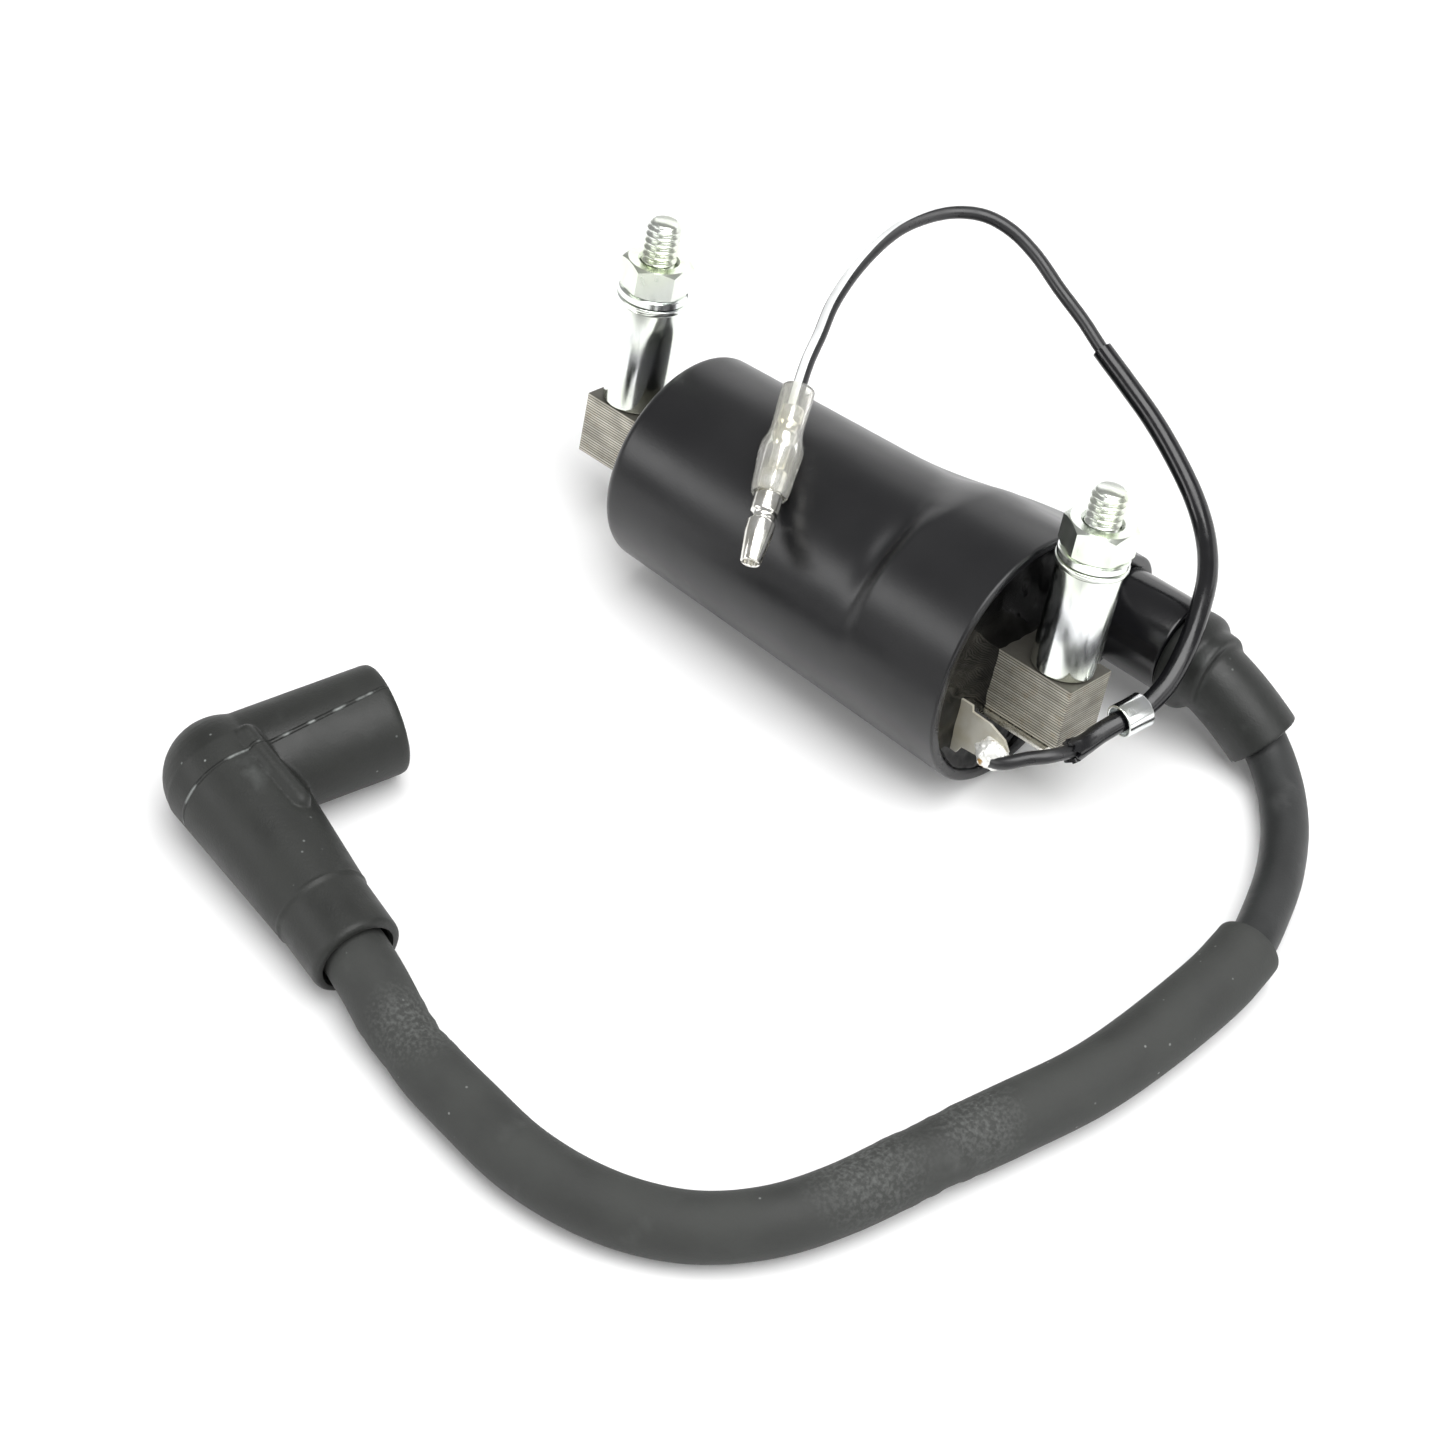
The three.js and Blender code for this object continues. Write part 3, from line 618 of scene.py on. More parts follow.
def winding_material():
    look = Look("winding_copper", (0.6, 0.25, 0.1), 0.28, 0.9)
    turns = look.waves(900, 0.4, look.stretched((1, 1, 1), (0, math.radians(90), 0)))
    look.colour(look.mixed(look.spread(turns, 0.2, 0.8), (0.28, 0.08, 0.03), (0.68, 0.3, 0.12)))
    look.roughness(look.spread(look.grain(400, 3), 0.3, 0.7, 0.22, 0.4))
    look.bumps((turns, 0.08))
    return look.material


def vinyl_material(name, colour, roughness):
    look = Look(name, colour, roughness, Specular_IOR_Level=0.55)
    clouds = look.grain(140, 4)
    look.colour(look.mixed(look.spread(clouds, 0.4, 0.7), colour, [c * 1.35 for c in colour]))
    look.roughness(look.spread(look.grain(350, 4), 0.3, 0.7, roughness - 0.07, roughness + 0.1))
    look.bumps((look.grain(900, 3), 0.015))
    return look.material


def clear_material():
    tint = (0.98, 0.98, 0.95)
    look = Look("vinyl_clear", tint, 0.1, Transmission_Weight=0.86, IOR=1.3)
    clouds = look.grain(260, 5)
    look.colour(look.mixed(look.spread(clouds, 0.4, 0.7), tint, (0.96, 0.95, 0.86)))
    look.roughness(look.spread(look.grain(500, 4), 0.35, 0.65, 0.05, 0.16))
    look.bumps((look.grain(420, 3), 0.006))
    return look.material


def solder_material():
    look = Look("solder_bright", (0.9, 0.9, 0.86), 0.3, 0.45)
    flux = look.spread(look.grain(420, 4), 0.57, 0.64)
    look.colour(look.mixed(flux, (0.92, 0.92, 0.88), (0.34, 0.2, 0.05)))
    look.roughness(look.spread(look.grain(700, 4), 0.3, 0.7, 0.24, 0.45))
    look.bumps((look.grain(650, 4), 0.08))
    return look.material


def floor_material():
    look = Look("floor_white", (0.93, 0.93, 0.93), 0.75, Specular_IOR_Level=0.1)
    clouds = look.spread(look.grain(6, 3), 0.3, 0.7)
    look.colour(look.mixed(clouds, (0.94, 0.94, 0.94), (0.925, 0.925, 0.925)))
    look.bumps((look.grain(900, 2), 0.01))
    return look.material


LOOKS = {
    "casing": casing_material(),
    "resin": resin_material(),
    "zinc": zinc_material("zinc_bright", (0.86, 0.88, 0.89), 0.11),
    "thread": zinc_material("zinc_thread", (0.8, 0.83, 0.78), 0.2, 0.35),
    "nut": zinc_material("zinc_nut", (0.82, 0.86, 0.8), 0.17, 0.3),
    "tag": metal_material("tag_dull_tin", (0.52, 0.505, 0.44), 0.5, (0.43, 0.4, 0.31), 0.3),
    "tin": metal_material("tin_dull", (0.72, 0.71, 0.66), 0.25, (0.6, 0.58, 0.5)),
    "bullet": metal_material("tin_bright", (0.88, 0.87, 0.83), 0.16, (0.7, 0.68, 0.6)),
    "brass": metal_material("brass", (0.75, 0.56, 0.24), 0.3),
    "copper": metal_material("copper", (0.72, 0.35, 0.18), 0.34),
    "solder": solder_material(),
    "nylon": nylon_material(),
    "winding": winding_material(),
    "boot": rubber("rubber_boot", (0.012, 0.013, 0.012), (0.1, 0.11, 0.105), 0.48),
    "cap": cap_material(),
    "lead": rubber("rubber_lead", (0.017, 0.018, 0.018), (0.12, 0.12, 0.12), 0.5, 0.4),
    "sleeve": sleeve_material(),
    "insulation": vinyl_material("insulation_black", (0.018, 0.018, 0.019), 0.3),
    "stripe": vinyl_material("insulation_white", (0.62, 0.63, 0.63), 0.32),
    "sheath": vinyl_material("sheath_black", (0.006, 0.006, 0.007), 0.2),
    "clear": clear_material(),
}
PLATE_LOOKS = [
    lamination_material("plate_steel_a", (0.62, 0.595, 0.51)),
    lamination_material("plate_steel_b", (0.56, 0.535, 0.455)),
    lamination_material("plate_steel_c", (0.66, 0.64, 0.56)),
]
# Which of the three looks each plate takes, repeated up the stack.
PLATE_ORDER = (0, 2, 1, 1, 0)


# ---- the high-tension lead, its sleeve, boot and plug cap

LEAD_STEPS = 300
LEAD = Route(LEAD_ROUTE, LEAD_STEPS)
FIRST_CREASE = 0.36
SECOND_CREASE = 0.885
# The lips at the sleeve's two ends: how far they reach, narrow outside and open inside.
LIP_REACH = 0.22
LIP_CHAMFER = 0.25
LIP_FLARE = 0.2

BOOT_STEPS = 40
BOOT_BORE_RADIUS = 4.75
BOOT_BORE_FIRST_STEP = 4

CAP_SIDES = 96
HEEL_RADIUS = 10.5
# The raised line round the leg: its place along the leg, half its width and its height.
CAP_LINE = (31.6, 0.35, 0.2)
CAP_LINE_REACH = 12
LOWEST_LINE = 0.001


def lead_shape():
    angles = around(32)
    rows = [LEAD.ring(step, LEAD_RADIUS, angles) for step in range(len(LEAD.points))]
    return skinned(rows)


def sleeve_radius(step, angles):
    """The sleeve lies slack on the lead: long dents, a few cross wrinkles and two pinched places."""
    along = LEAD.at[step]
    start, end = (share * LEAD.length for share in SLEEVE_SHARE)
    share = (along - start) / (end - start)
    radius = np.full(len(angles), SLEEVE_RADII[0])
    radius -= 0.3 * bell(share, FIRST_CREASE, 0.025) * (1 + 0.6 * np.cos(angles - 1))
    radius -= 0.34 * bell(share, SECOND_CREASE, 0.022) * (1 + 0.5 * np.cos(angles + 1.2))
    radius -= 0.14 * smoothstep(share, FIRST_CREASE, FIRST_CREASE + 0.06)
    for index, angle in enumerate(angles):
        spot = (along * 0.045, math.cos(angle) * 0.9, math.sin(angle) * 0.9)
        radius[index] += 0.2 * ripple(spot, 1.0, 3.0)
        fold = (along * 0.5, math.cos(angle) * 0.6, math.sin(angle) * 0.6)
        wrinkled = bell(share, FIRST_CREASE, 0.035) + bell(share, SECOND_CREASE, 0.03)
        radius[index] += 0.3 * wrinkled * ripple(fold, 1.0, 8.0)
    return radius


def sleeve_shape():
    angles = around(64)
    first, last = (round(share * LEAD_STEPS) for share in SLEEVE_SHARE)
    outer = [LEAD.ring(step, sleeve_radius(step, angles), angles) for step in range(first, last + 1)]
    inner = [LEAD.ring(step, SLEEVE_RADII[1], angles) for step in range(last, first - 1, -1)]

    def lip(step, radius, way):
        return LEAD.ring(step, radius, angles) + LEAD.tangents[step] * LIP_REACH * way

    rows = [
        lip(first, sleeve_radius(first, angles) - LIP_CHAMFER, -1),
        *outer,
        lip(last, sleeve_radius(last, angles) - LIP_CHAMFER, 1),
        lip(last, SLEEVE_RADII[1] + LIP_FLARE, 1),
        *inner,
        lip(first, SLEEVE_RADII[1] + LIP_FLARE, -1),
    ]
    return skinned(rows, looped=True)


def make_boot():
    path = Route(BOOT_ROUTE, BOOT_STEPS)
    angles = around(56)
    barrel = skinned([path.ring(step, BOOT_RADIUS, angles) for step in range(BOOT_STEPS + 1)])
    collar_profile = [
        (0.5, 104.6), (COLLAR_RADIUS, 104.6), (COLLAR_RADIUS, 108.2), (6.3, 110.3), (0.5, 110.3),
    ]
    collar = lathe(rounded(collar_profile, 1.0))
    neck = lathe(rounded([(0.5, 106), (7.5, 106), (7.1, 112.4), (0.5, 112.4)], 0.6))
    collar_place = along_coil(COLLAR_YZ)
    boot = fused("boot_skin", [(barrel, TABLE), (collar, collar_place), (neck, collar_place)], 0.36, 6)
    bore_steps = range(BOOT_BORE_FIRST_STEP, BOOT_STEPS + 1)
    bore_rows = [path.ring(step, BOOT_BORE_RADIUS, angles) for step in bore_steps]
    bore_rows.append(bore_rows[-1] + path.tangents[-1] * 3)
    combined(boot, mesh_object("bore", skinned(bore_rows), TABLE), "DIFFERENCE")
    seat_radius = SPIGOT_RADIUS + 0.1
    seat = mesh_object("seat", lathe([(seat_radius, 103), (seat_radius, 107.9)]), along_coil(TOWER_YZ))
    return combined(boot, seat, "DIFFERENCE")


def raise_cap_line(piece):
    """A thin raised line round the leg, where the mould's mouth insert met it."""
    elbow, leg_end = (TABLE @ Vector(point) for point in (ELBOW, LEG_END))
    leg = (leg_end - elbow).normalized()
    place, width, most = CAP_LINE
    for vertex in piece.data.vertices:
        offset = vertex.co - elbow
        along_leg = offset.dot(leg)
        height = float(bell(along_leg / MM, place, width)) * most * MM
        outward = offset - leg * along_leg
        if height > LOWEST_LINE * MM and outward.length < CAP_LINE_REACH * MM:
            vertex.co += outward.normalized() * height


def rod_shape(length, radius):
    """A thin rod with round ends, along +Z."""
    tip = np.linspace(-math.pi / 2 + 0.1, 0, 8)
    profile = [(radius * math.cos(a), radius * math.sin(a)) for a in tip]
    profile += [(radius * math.cos(a), length - radius * math.sin(a)) for a in reversed(tip)]
    return lathe(profile, 24)


def make_cap():
    leg_profile = [
        (0.5, -1), (10.6, -1), (10.55, 0), (9.1, 21), (8.4, 31), (8.12, 32),
        (8.0, LEG_LENGTH), (0.5, LEG_LENGTH),
    ]
    leg = lathe(rounded(leg_profile, 1.0), CAP_SIDES)
    heel_arc = np.linspace(-math.pi / 2 + 0.05, math.pi / 2 - 0.05, 24)
    heel = lathe([(HEEL_RADIUS * math.cos(a), HEEL_RADIUS * math.sin(a)) for a in heel_arc], CAP_SIDES)
    barrel_profile = [(0.5, 0), (BARREL_RADIUS, 0), (BARREL_RADIUS, BARREL_LENGTH), (0.5, BARREL_LENGTH)]
    barrel = lathe(rounded(barrel_profile, 1.6), CAP_SIDES)
    start, end, radius = CAP_RIB
    rib = rod_shape((Vector(end) - Vector(start)).length, radius)
    leg_place, barrel_place = pointed(ELBOW, LEG_END), pointed(ELBOW, BARREL_END)
    shapes = [(leg, leg_place), (heel, leg_place), (barrel, barrel_place), (rib, pointed(start, end))]
    cap = fused("cap_skin", shapes, 0.32, 3)
    raise_cap_line(cap)
    leg_bore = [
        (0.3, 28.5), (6.2, 28.5), (6.2, LEG_LENGTH - 0.8), (7.0, LEG_LENGTH + 1), (0.3, LEG_LENGTH + 1),
    ]
    plug_bore = [
        (0.3, -6), (5.3, -6), (5.3, 14.5), (6.5, 15.5), (6.5, BARREL_LENGTH - 1), (7.4, 31), (0.3, 31),
    ]
    for profile, place in ((leg_bore, leg_place), (plug_bore, barrel_place)):
        combined(cap, mesh_object("bore", lathe(rounded(profile, 0.4)), place), "DIFFERENCE")
    return cap


def make_lead_side():
    lead = mesh_object("lead_core", lead_shape(), TABLE)
    finished(lead, "coil", ["ht_lead"], [LOOKS["lead"]])
    sleeve = mesh_object("lead_cover", sleeve_shape(), TABLE)
    finished(sleeve, "coil", ["lead_sleeve"], [LOOKS["sleeve"]], 60)
    finished(make_boot(), "coil", ["tower_boot"], [LOOKS["boot"]], 50)
    cap = finished(make_cap(), "cap_body", ["plug_cap"], [LOOKS["cap"]], 50)


# ---- the low-tension wire, its sheath, ring and connector

WIRE_STEPS = 320
WIRE = Route(WIRE_ROUTE, WIRE_STEPS)
# Where the white stripe faces along the wire: share of the length and a direction.
STRIPE_FACING = [
    (0.0, (0.3, 0.3, -1)), (0.5, (-0.11, 0.84, -0.53)), (0.64, (0.05, 1.0, 0.05)),
    (0.72, (-0.53, 0.4, 0.75)), (0.76, (-0.41, 0.05, 0.91)), (0.8, (-0.28, -0.17, 0.95)),
    (0.84, (-0.14, -0.25, 0.96)), (0.88, (-0.08, -0.32, 0.94)), (1.0, (0.14, -0.76, 0.64)),
]
STRIPE_HALF = math.radians(33)
# Where the sheath's groove starts round the wire, and how far it drifts down its length, in radians.
GROOVE_ANGLE = 3.9
GROOVE_DRIFT = 1.3


def stripe_direction(share):
    places, facings = zip(*STRIPE_FACING)
    return np.array([np.interp(share, places, values) for values in zip(*facings)])


def stripe_angle(step):
    facing = stripe_direction(step / WIRE_STEPS)
    return math.atan2(np.dot(facing, WIRE.ups[step]), np.dot(facing, WIRE.sides[step]))


def make_wire():
    """The rings turn with the stripe, so the stripe is the same columns all along."""
    sides = 60
    rows = []
    for step in range(WIRE_STEPS + 1):
        rows.append(WIRE.ring(step, WIRE_RADIUS, around(sides) + stripe_angle(step)))
    wire = mesh_object("wire_core", skinned(rows), TABLE)
    striped = round(sides * STRIPE_HALF / (2 * math.pi))
    for polygon in wire.data.polygons:
        if len(polygon.vertices) == 4:
            columns = {vertex % sides for vertex in polygon.vertices}
            # A ring's last face joins its last column to its first.
            column = sides - 1 if columns == {0, sides - 1} else min(columns)
            polygon.material_index = int(column < striped or column >= sides - striped)
    return finished(wire, "coil", ["lt_wire"], [LOOKS["insulation"], LOOKS["stripe"]])


def make_sheath():
    """A split sleeve: a shallow groove runs down it, and its lower end is torn."""
    first, last = (round(share * WIRE_STEPS) for share in SHEATH_SHARE)
    angles = around(48)
    outer = []
    for step in range(first, last + 1):
        share = (step - first) / (last - first)
        radius = SHEATH_RADII[0] - 0.3 * bell(angles, GROOVE_ANGLE - GROOVE_DRIFT * share, 0.13)
        radius = radius + 0.35 * bell(share, 0, 0.015)
        outer.append(WIRE.ring(step, radius, angles))
    inner = [WIRE.ring(step, SHEATH_RADII[1], angles) for step in range(last, first - 1, -1)]
    torn = np.array([0.5 + 0.9 * math.sin(3 * angle) * math.cos(5 * angle + 1) for angle in angles])
    outer[0] = outer[0] - WIRE.tangents[first] * torn[:, None]
    inner[-1] = inner[-1] - WIRE.tangents[first] * torn[:, None]
    sheath = mesh_object("sheath_skin", skinned([*outer, *inner], looped=True), TABLE)
    return finished(sheath, "coil", ["lt_sheath"], [LOOKS["sheath"]], 50)


def make_ring():
    length = (Vector(RING_ENDS[1]) - Vector(RING_ENDS[0])).length
    profile = [(2.95, length / 2), (3.08, length), (2.62, length), (2.5, 0), (2.98, 0), (2.95, length / 2)]
    shape = lathe(rounded(profile, 0.18)[:-1], 72, looped=True)
    ring = mesh_object("ring_band", shape, pointed(*RING_ENDS))
    return finished(ring, "ring_body", ["clip_ring"], [LOOKS["zinc"]])


def connector_place():
    tip = Vector(SLEEVE_CENTRE) + Vector(CONNECTOR_AXIS)
    return pointed(SLEEVE_CENTRE, tip)


def make_connector_sleeve():
    profile = [
        (2.85, -11), (2.78, -7.2), (3.0, -5.6), (3.75, -3.4), (3.72, -2.2), (3.3, 4.6), (3.0, 5.7),
        (2.62, 5.7), (2.62, -2.8), (2.15, -4.2), (2.15, -14.8), (2.5, -15), (2.88, -14.8), (2.85, -11),
    ]
    shape = lathe(rounded(profile, 0.7, 5)[:-1], 72, looped=True)
    sleeve = mesh_object("connector_cover", shape, connector_place())
    return finished(sleeve, "vinyl_sleeve_body", ["connector_sleeve"], [LOOKS["clear"]], 60)


def make_bullet():
    profile = [
        (1.42, -7), (1.42, -10.9), (1.62, -11.1), (1.95, -10.8), (2.0, -7.9), (1.7, -7.2), (1.7, -6.2),
        (2.02, -5.6), (1.95, -4), (1.6, -3.4), (1.6, 1), (2.4, 1.6), (2.4, 9), (1.95, 9.5),
        (1.95, 10.2), (2.4, 10.8), (2.38, 13), (1.72, 18.4), (1.25, 18.4), (1.25, 9), (0.2, 9),
    ]
    place = connector_place()
    bullet = mesh_object("bullet_pin", lathe([(0.2, -6.8), *rounded(profile, 0.25, 4)], 64), place)
    corners = [(-4, -0.32), (4, -0.32), (4, 0.32), (-4, 0.32)]
    slot = skinned([[(x, y, z) for x, y in corners] for z in (12.6, 20)])
    turn = Matrix.Rotation(math.radians(35), 4, "Z")
    combined(bullet, mesh_object("slot", slot, place @ turn), "DIFFERENCE")
    return finished(bullet, "coil", ["bullet_terminal"], [LOOKS["bullet"]])


def make_wire_side():
    wire, sheath, ring = make_wire(), make_sheath(), make_ring()
    sleeve, bullet = make_connector_sleeve(), make_bullet()


# ---- casing, tower and resin

CASING_SIDES = 220
LOBE_LINE = Route([(x, y, 0) for x, y in LOBE_CENTRES], 120).points


def barrel_radius(x):
    return float(np.interp(x, CASING_X, CASING_RADII))


def lobe_centre(x):
    return float(np.interp(x, LOBE_LINE[:, 0], LOBE_LINE[:, 1]))


def crease_rise(x, angle):
    """The front part stands proud of the rear part, along a curved crease over the top."""
    places, lines, widths = zip(*CREASE_LINE)
    line = np.interp(np.degrees(angle), places, lines)
    half = np.interp(np.degrees(angle), places, widths) / 2
    rise = CREASE_RISE * smoothstep(np.sin(angle), -0.1, 1.1)
    valley = 0.42 * bell(angle, math.radians(136), 0.35) * bell(x, line - half, half)
    return rise * smoothstep((x - line) / half, -1, 1) - valley


def casing_outline(x, inset, sides=CASING_SIDES):
    """One cross-section: the hull of the barrel's circle and the lobe's, with even spacing."""
    angles = np.linspace(-math.pi, math.pi, 1440, endpoint=False)
    c, s = np.cos(angles), np.sin(angles)
    barrel, lobe, lobe_y = barrel_radius(x) - inset, LOBE_RADIUS - inset, lobe_centre(x)
    on_lobe = c * lobe_y + s * LOBE_Z + lobe > s * CASING_AXIS_Z + barrel
    y = np.where(on_lobe, lobe_y + lobe * c, barrel * c)
    z = np.where(on_lobe, LOBE_Z + lobe * s, CASING_AXIS_Z + barrel * s)
    y, z = np.append(y, y[0]), np.append(z, z[0])
    lengths = np.concatenate([[0], np.cumsum(np.hypot(np.diff(y), np.diff(z)))])
    even = np.linspace(0, lengths[-1], sides, endpoint=False)
    y, z = np.interp(even, lengths, y), np.interp(even, lengths, z)
    angle = np.arctan2(z - CASING_AXIS_Z, y)
    angle = np.where(angle < -2, angle + 2 * math.pi, angle)
    distance = np.hypot(y, z - CASING_AXIS_Z)
    scale = 1 + crease_rise(x, angle) / distance
    y, z = y * scale, CASING_AXIS_Z + (z - CASING_AXIS_Z) * scale
    return np.stack([np.full(sides, float(x)), y, z], axis=1)


def casing_rows():
    """Pairs of x and inset: round the rear edge, along the outside, round the lip and back inside."""
    rear, front = CASING_X
    edge, lip = 2.0, 0.5
    edge_arc = np.linspace(0, math.pi / 2, 9)
    lip_arc = np.linspace(0, math.pi / 2, 5)
    outside = [
        *np.arange(rear + edge + 1, 62, 1.5), *np.arange(62, 76, 0.4), *np.arange(76, front - lip, 1.5),
    ]
    inside = (88.5, 86, 80, 76, 71, 65, 59, 52, 46, 41, 37, 30, 20, rear + CASING_WALL)
    rows = [(rear, edge + 1.5)]
    rows += [(rear + edge * (1 - math.cos(t)), edge * (1 - math.sin(t))) for t in edge_arc]
    rows += [(x, 0) for x in outside]
    rows += [(front - lip * (1 - math.sin(t)), lip * (1 - math.cos(t))) for t in lip_arc]
    rows += [(front - lip * (1 - math.cos(t)), CASING_WALL - lip * (1 - math.sin(t))) for t in lip_arc]
    rows += [(x, CASING_WALL) for x in inside]
    return rows


def make_casing():
    shape = skinned([casing_outline(x, inset) for x, inset in casing_rows()])
    casing = mesh_object("casing_shell", shape, COIL)
    profile = [
        (1.0, 75), (TOWER_RADII[0], 75), (TOWER_RADII[0], 90), (TOWER_RADII[1], SPIGOT_START),
        (SPIGOT_RADIUS, SPIGOT_START), (SPIGOT_RADIUS, TOWER_END), (5.6, TOWER_END),
        (4.8, 101), (4.8, 80), (1.0, 80),
    ]
    tower = mesh_object("tower", lathe(rounded(profile, 0.5), 96), along_coil(TOWER_YZ))
    combined(casing, tower, "UNION")
    return finished(casing, "coil", ["casing"], [LOOKS["casing"]])


def resin_height(y, z, edge):
    """How far the resin stands forward: it climbs the wall and the core, with low swells between."""
    core = max(abs(y) - CORE_HALF[0], abs(z) - CORE_HALF[1], 0.0)
    climb = 1.1 * math.exp(-edge / 0.8) + 0.8 * math.exp(-core / 1.1)
    swell = 0.5 * ripple((y, z, 0), 0.16, 2.0) + 0.18 * ripple((y, z, 0), 0.5, 5.0)
    return climb + swell


def make_resin():
    outline = casing_outline(RESIN_MIDDLE[0], CASING_WALL + 0.02, 160)
    centre = np.array(RESIN_MIDDLE)
    shares = [1, 0.985, 0.965, 0.94, 0.91, 0.87, 0.82, 0.76, 0.69, 0.61, 0.52, 0.42, 0.31, 0.2, 0.1]
    back = outline.copy()
    back[:, 0] = RESIN_X[0]
    rows = [back]
    for share in shares:
        ring = centre + (outline - centre) * share
        edges = np.linalg.norm(outline - ring, axis=1)
        ring[:, 0] = [RESIN_X[1] + resin_height(y, z, edge) for (_, y, z), edge in zip(ring, edges)]
        rows.append(ring)
    resin = mesh_object("resin_fill", skinned(rows), COIL)
    return finished(resin, "coil", ["potting_resin"], [LOOKS["resin"]])


# ---- studs, spacers, washers and nuts


def thread_shape(top):
    angles = around(64)
    tip = 0.9
    head_low, head_high = STUD_HEAD_Z
    shank = [
        (STUD_HEAD_RADIUS - 0.6, head_low), (STUD_HEAD_RADIUS, head_low + 0.5),
        (STUD_HEAD_RADIUS, head_high), (STUD_RADIUS, head_high), (STUD_RADIUS, THREAD_START - 0.2),
    ]
    rows = [level_ring(radius, z, angles) for radius, z in shank]
    for z in np.arange(THREAD_START, top + 0.001, THREAD_PITCH / 20):
        turns = z / THREAD_PITCH - angles / (2 * math.pi)
        valley = 0.5 - 0.5 * np.cos(2 * math.pi * turns)
        depth = THREAD_DEPTH * valley * smoothstep(z, THREAD_START, THREAD_START + 1)
        cone = STUD_RADIUS - 0.95 * max(0.0, z - (top - tip))
        rows.append(level_ring(np.minimum(STUD_RADIUS - depth, cone), z, angles))
    return skinned(rows)


def hex_radius(angles, turn, flats):
    sixth = math.pi / 3
    from_corner = (angles - math.radians(turn - 90)) % sixth
    return flats / 2 / np.cos(from_corner - sixth / 2)


def nut_shape(turn):
    """A hexagon whose corners are rounded off by a cone at both ends, with a countersunk bore."""
    angles = around(144) + math.radians(turn - 90)
    hexagon = hex_radius(angles, turn, NUT_FLATS)
    low, high = NUT_Z
    middle = (low + high) / 2
    face = NUT_FLATS / 2 - 0.15
    bore = STUD_RADIUS + 0.12
    fall = (hexagon - face) * math.tan(math.radians(30))
    profile = [
        (bore, low + 0.5), (bore + 0.5, low), (face, low), ((face + hexagon) / 2, low + fall / 2),
        (hexagon, low + fall), (hexagon, middle), (hexagon, high - fall),
        ((face + hexagon) / 2, high - fall / 2), (face, high), (bore + 0.5, high),
        (bore, high - 0.5), (bore, middle),
    ]
    return skinned([level_ring(radius, z, angles) for radius, z in profile], looped=True)


def lock_washer_shape():
    """A spring washer: a square section on one slightly climbing turn, cut at the split."""
    low, high = LOCK_WASHER_Z
    steps = 96
    gap = 0.12
    section = [(0.12, 0), (0.88, 0), (1, 0.12), (1, 0.88), (0.88, 1), (0.12, 1), (0, 0.88), (0, 0.12)]
    thick = high - low - 0.12
    rows = []
    for step in range(steps + 1):
        angle = 0.6 + gap + (2 * math.pi - 2 * gap) * step / steps
        climb = 0.12 * step / steps
        row = []
        for across, up in section:
            radius = LOOSE_BORE + across * (LOCK_WASHER_RADIUS - LOOSE_BORE)
            row.append((radius * math.cos(angle), radius * math.sin(angle), low + climb + up * thick))
        rows.append(row)
    return skinned(rows)


def make_stud_stack(end, x):
    place = at_stud(x)
    stud = mesh_object(end + "_threads", thread_shape(STUD_TOPS[end]), place)
    finished(stud, "coil", [end + "_stud"], [LOOKS["thread"]], 60)
    spacer = mesh_object(end + "_tube", tube_ring(SPACER_RADIUS, LOOSE_BORE, *SPACER_Z, 0.4, 128), place)
    finished(spacer, "coil", [end + "_spacer"], [LOOKS["zinc"]])
    washer = mesh_object(end + "_disc", tube_ring(WASHER_RADIUS, LOOSE_BORE, *WASHER_Z, 0.3, 96), place)
    finished(washer, "coil", [end + "_washer"], [LOOKS["zinc"]])
    spring = mesh_object(end + "_spring", lock_washer_shape(), place)
    finished(spring, end + "_washer_body", [end + "_lock_washer"], [LOOKS["zinc"]])
    nut = mesh_object(end + "_hex", nut_shape(NUT_TURNS[end]), place)
    finished(nut, end + "_nut_body", [end + "_nut"], [LOOKS["nut"]], 25)


# ---- the solder joint

SOLDER_CENTRE = (97, -13.2, -7.6)
SOLDER_HALF = (3.0, 2.3, 2.7)
SOLDER_Y = (-15.6, -12.3)


def make_solder():
    ball = bmesh.new()
    bmesh.ops.create_icosphere(ball, subdivisions=5, radius=1)
    for vertex in ball.verts:
        swell = 1 + 0.22 * ripple(vertex.co, 1.6, 4.0) + 0.1 * ripple(vertex.co, 4.0, 9.0)
        grown = vertex.co * swell
        vertex.co = [centre + half * value for centre, half, value in zip(SOLDER_CENTRE, SOLDER_HALF, grown)]
        vertex.co.y = min(max(vertex.co.y, SOLDER_Y[0]), SOLDER_Y[1])
    mesh = bpy.data.meshes.new("solder_lump")
    ball.to_mesh(mesh)
    ball.free()
    mesh.transform(COIL)
    lump = bpy.data.objects.new("solder_lump", mesh)
    bpy.context.collection.objects.link(lump)
    return finished(lump, "coil", ["solder_joint"], [LOOKS["solder"]], 60)


# ---- kept CAD nodes


def dress(node, look):
    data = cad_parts[node].data
    data.materials.clear()
    data.materials.append(look)


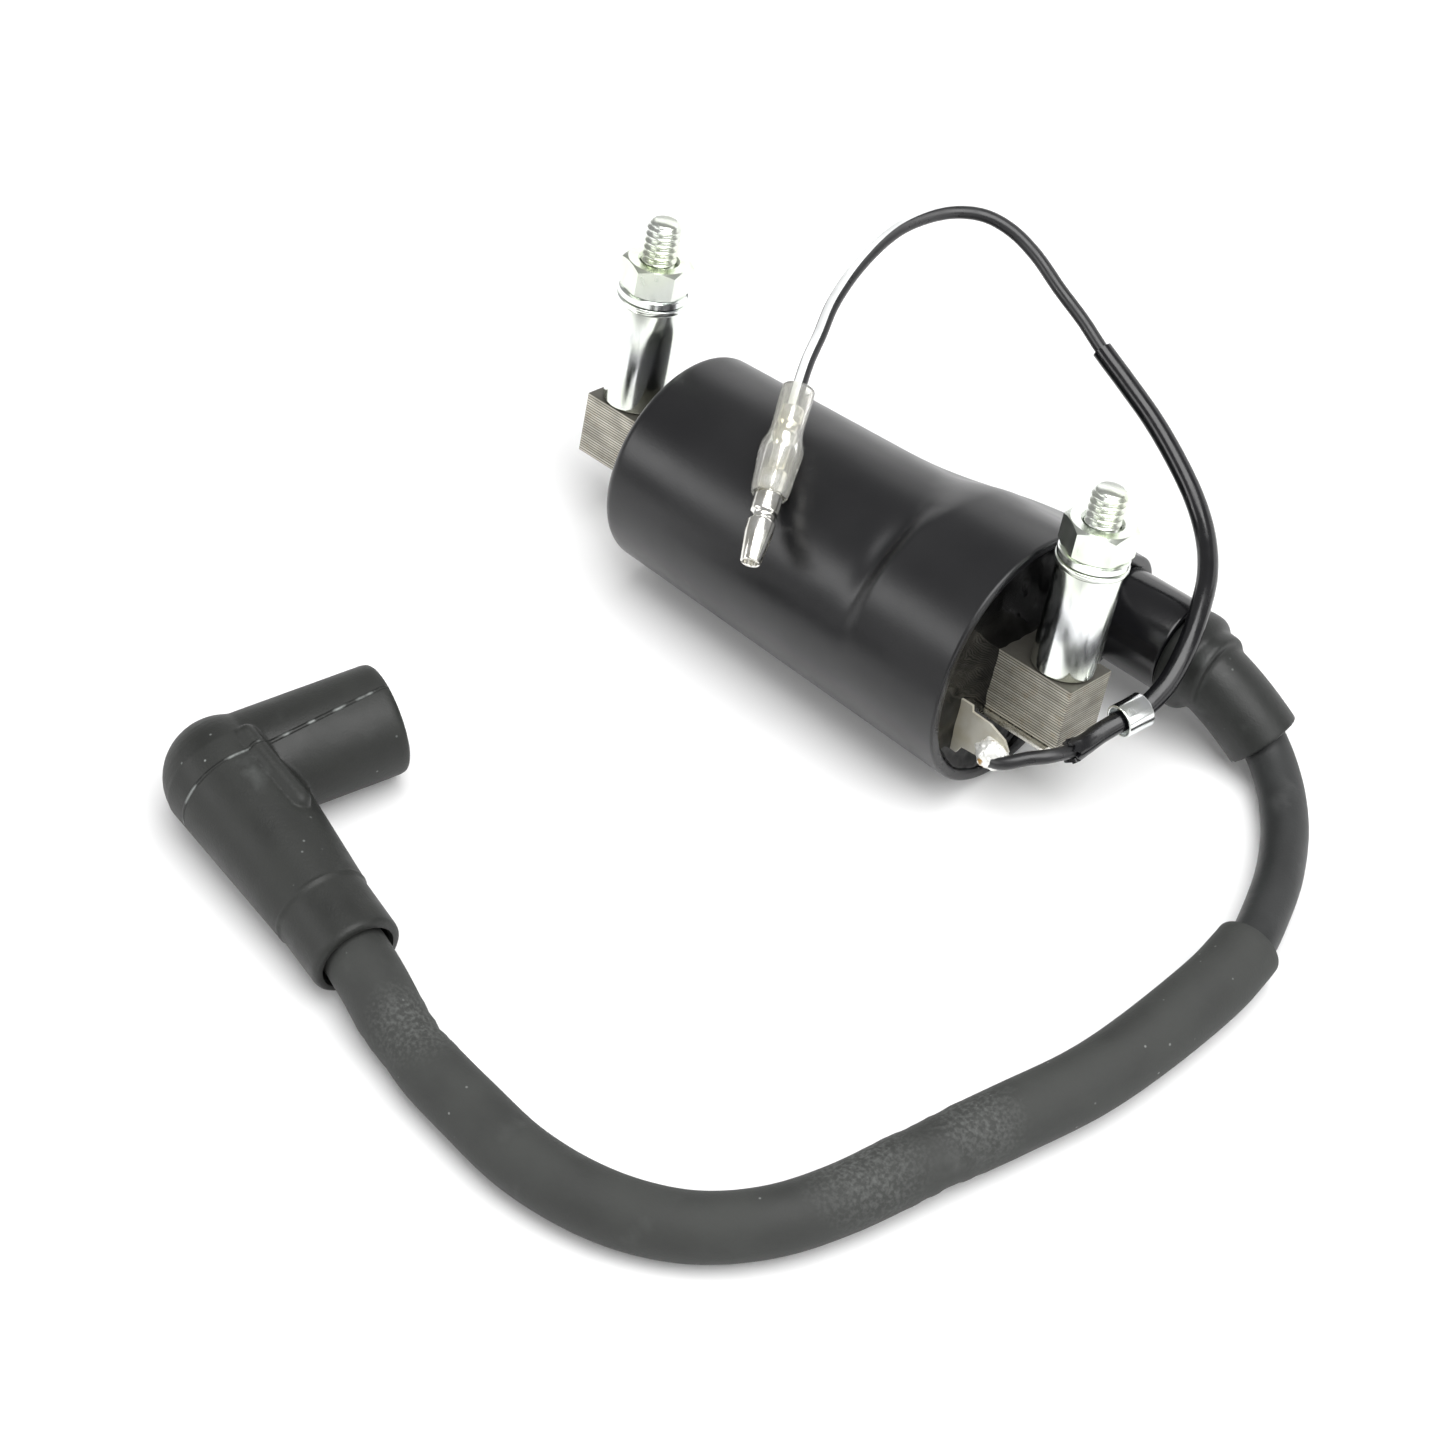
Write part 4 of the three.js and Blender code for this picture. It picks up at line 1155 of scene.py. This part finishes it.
def dress_kept_nodes():
    for index in range(PLATES):
        look = PLATE_LOOKS[PLATE_ORDER[index % len(PLATE_ORDER)]]
        dress(f"core_lamination_{index + 1:02d}", look)
    kept = {
        "core_insulator": "nylon",
        "primary_bobbin": "nylon",
        "secondary_bobbin": "nylon",
        "primary_winding": "winding",
        "secondary_winding": "winding",
        "ht_contact": "copper",
        "ht_pin": "brass",
        "lt_tag": "tag",
        "ground_tab": "tin",
        "cap_screw": "brass",
        "plug_clip": "bullet",
    }
    for node, look in kept.items():
        dress(node, LOOKS[look])


# ---- floor and light

FLOOR_SIZE = 6
WORLD_STRENGTH = 0.33


def make_floor():
    bpy.ops.mesh.primitive_grid_add(x_subdivisions=4, y_subdivisions=4, size=FLOOR_SIZE, location=(0, 0, 0))
    floor = bpy.context.object
    floor.name = "floor"
    floor.data.materials.append(floor_material())


def softbox(name, place, target, size, power):
    light = bpy.data.lights.new(name, "AREA")
    light.shape = "RECTANGLE"
    light.size, light.size_y = size
    light.energy = power
    holder = bpy.data.objects.new(name, light)
    holder.location = place
    aim = Vector(target) - Vector(place)
    holder.rotation_mode = "QUATERNION"
    holder.rotation_quaternion = aim.to_track_quat("-Z", "Y")
    bpy.context.collection.objects.link(holder)


def make_light():
    softbox("top", (0.3, -0.05, 0.85), (0, 0, 0), (0.7, 1.0), 10.8)
    softbox("front_left", (-0.46, -0.7, 0.42), (0.03, 0, 0.03), (0.8, 0.3), 2.6)
    softbox("back", (-0.3, 1.3, 0.4), (0, 0, 0.02), (2.4, 0.8), 6.5)
    softbox("right", (0.9, 0.1, 0.4), (0, 0, 0.02), (0.5, 0.6), 1.6)
    world = bpy.data.worlds.new("world")
    bpy.context.scene.world = world
    world.use_nodes = True
    background = world.node_tree.nodes["Background"]
    background.inputs["Color"].default_value = (1, 1, 1, 1)
    background.inputs["Strength"].default_value = WORLD_STRENGTH
    bpy.context.scene.view_settings.view_transform = "Standard"


make_camera()
make_lead_side()
make_wire_side()
make_casing()
make_resin()
make_stud_stack("rear", 0)
make_stud_stack("front", STUD_SPACING)
make_solder()
dress_kept_nodes()
make_floor()
make_light()
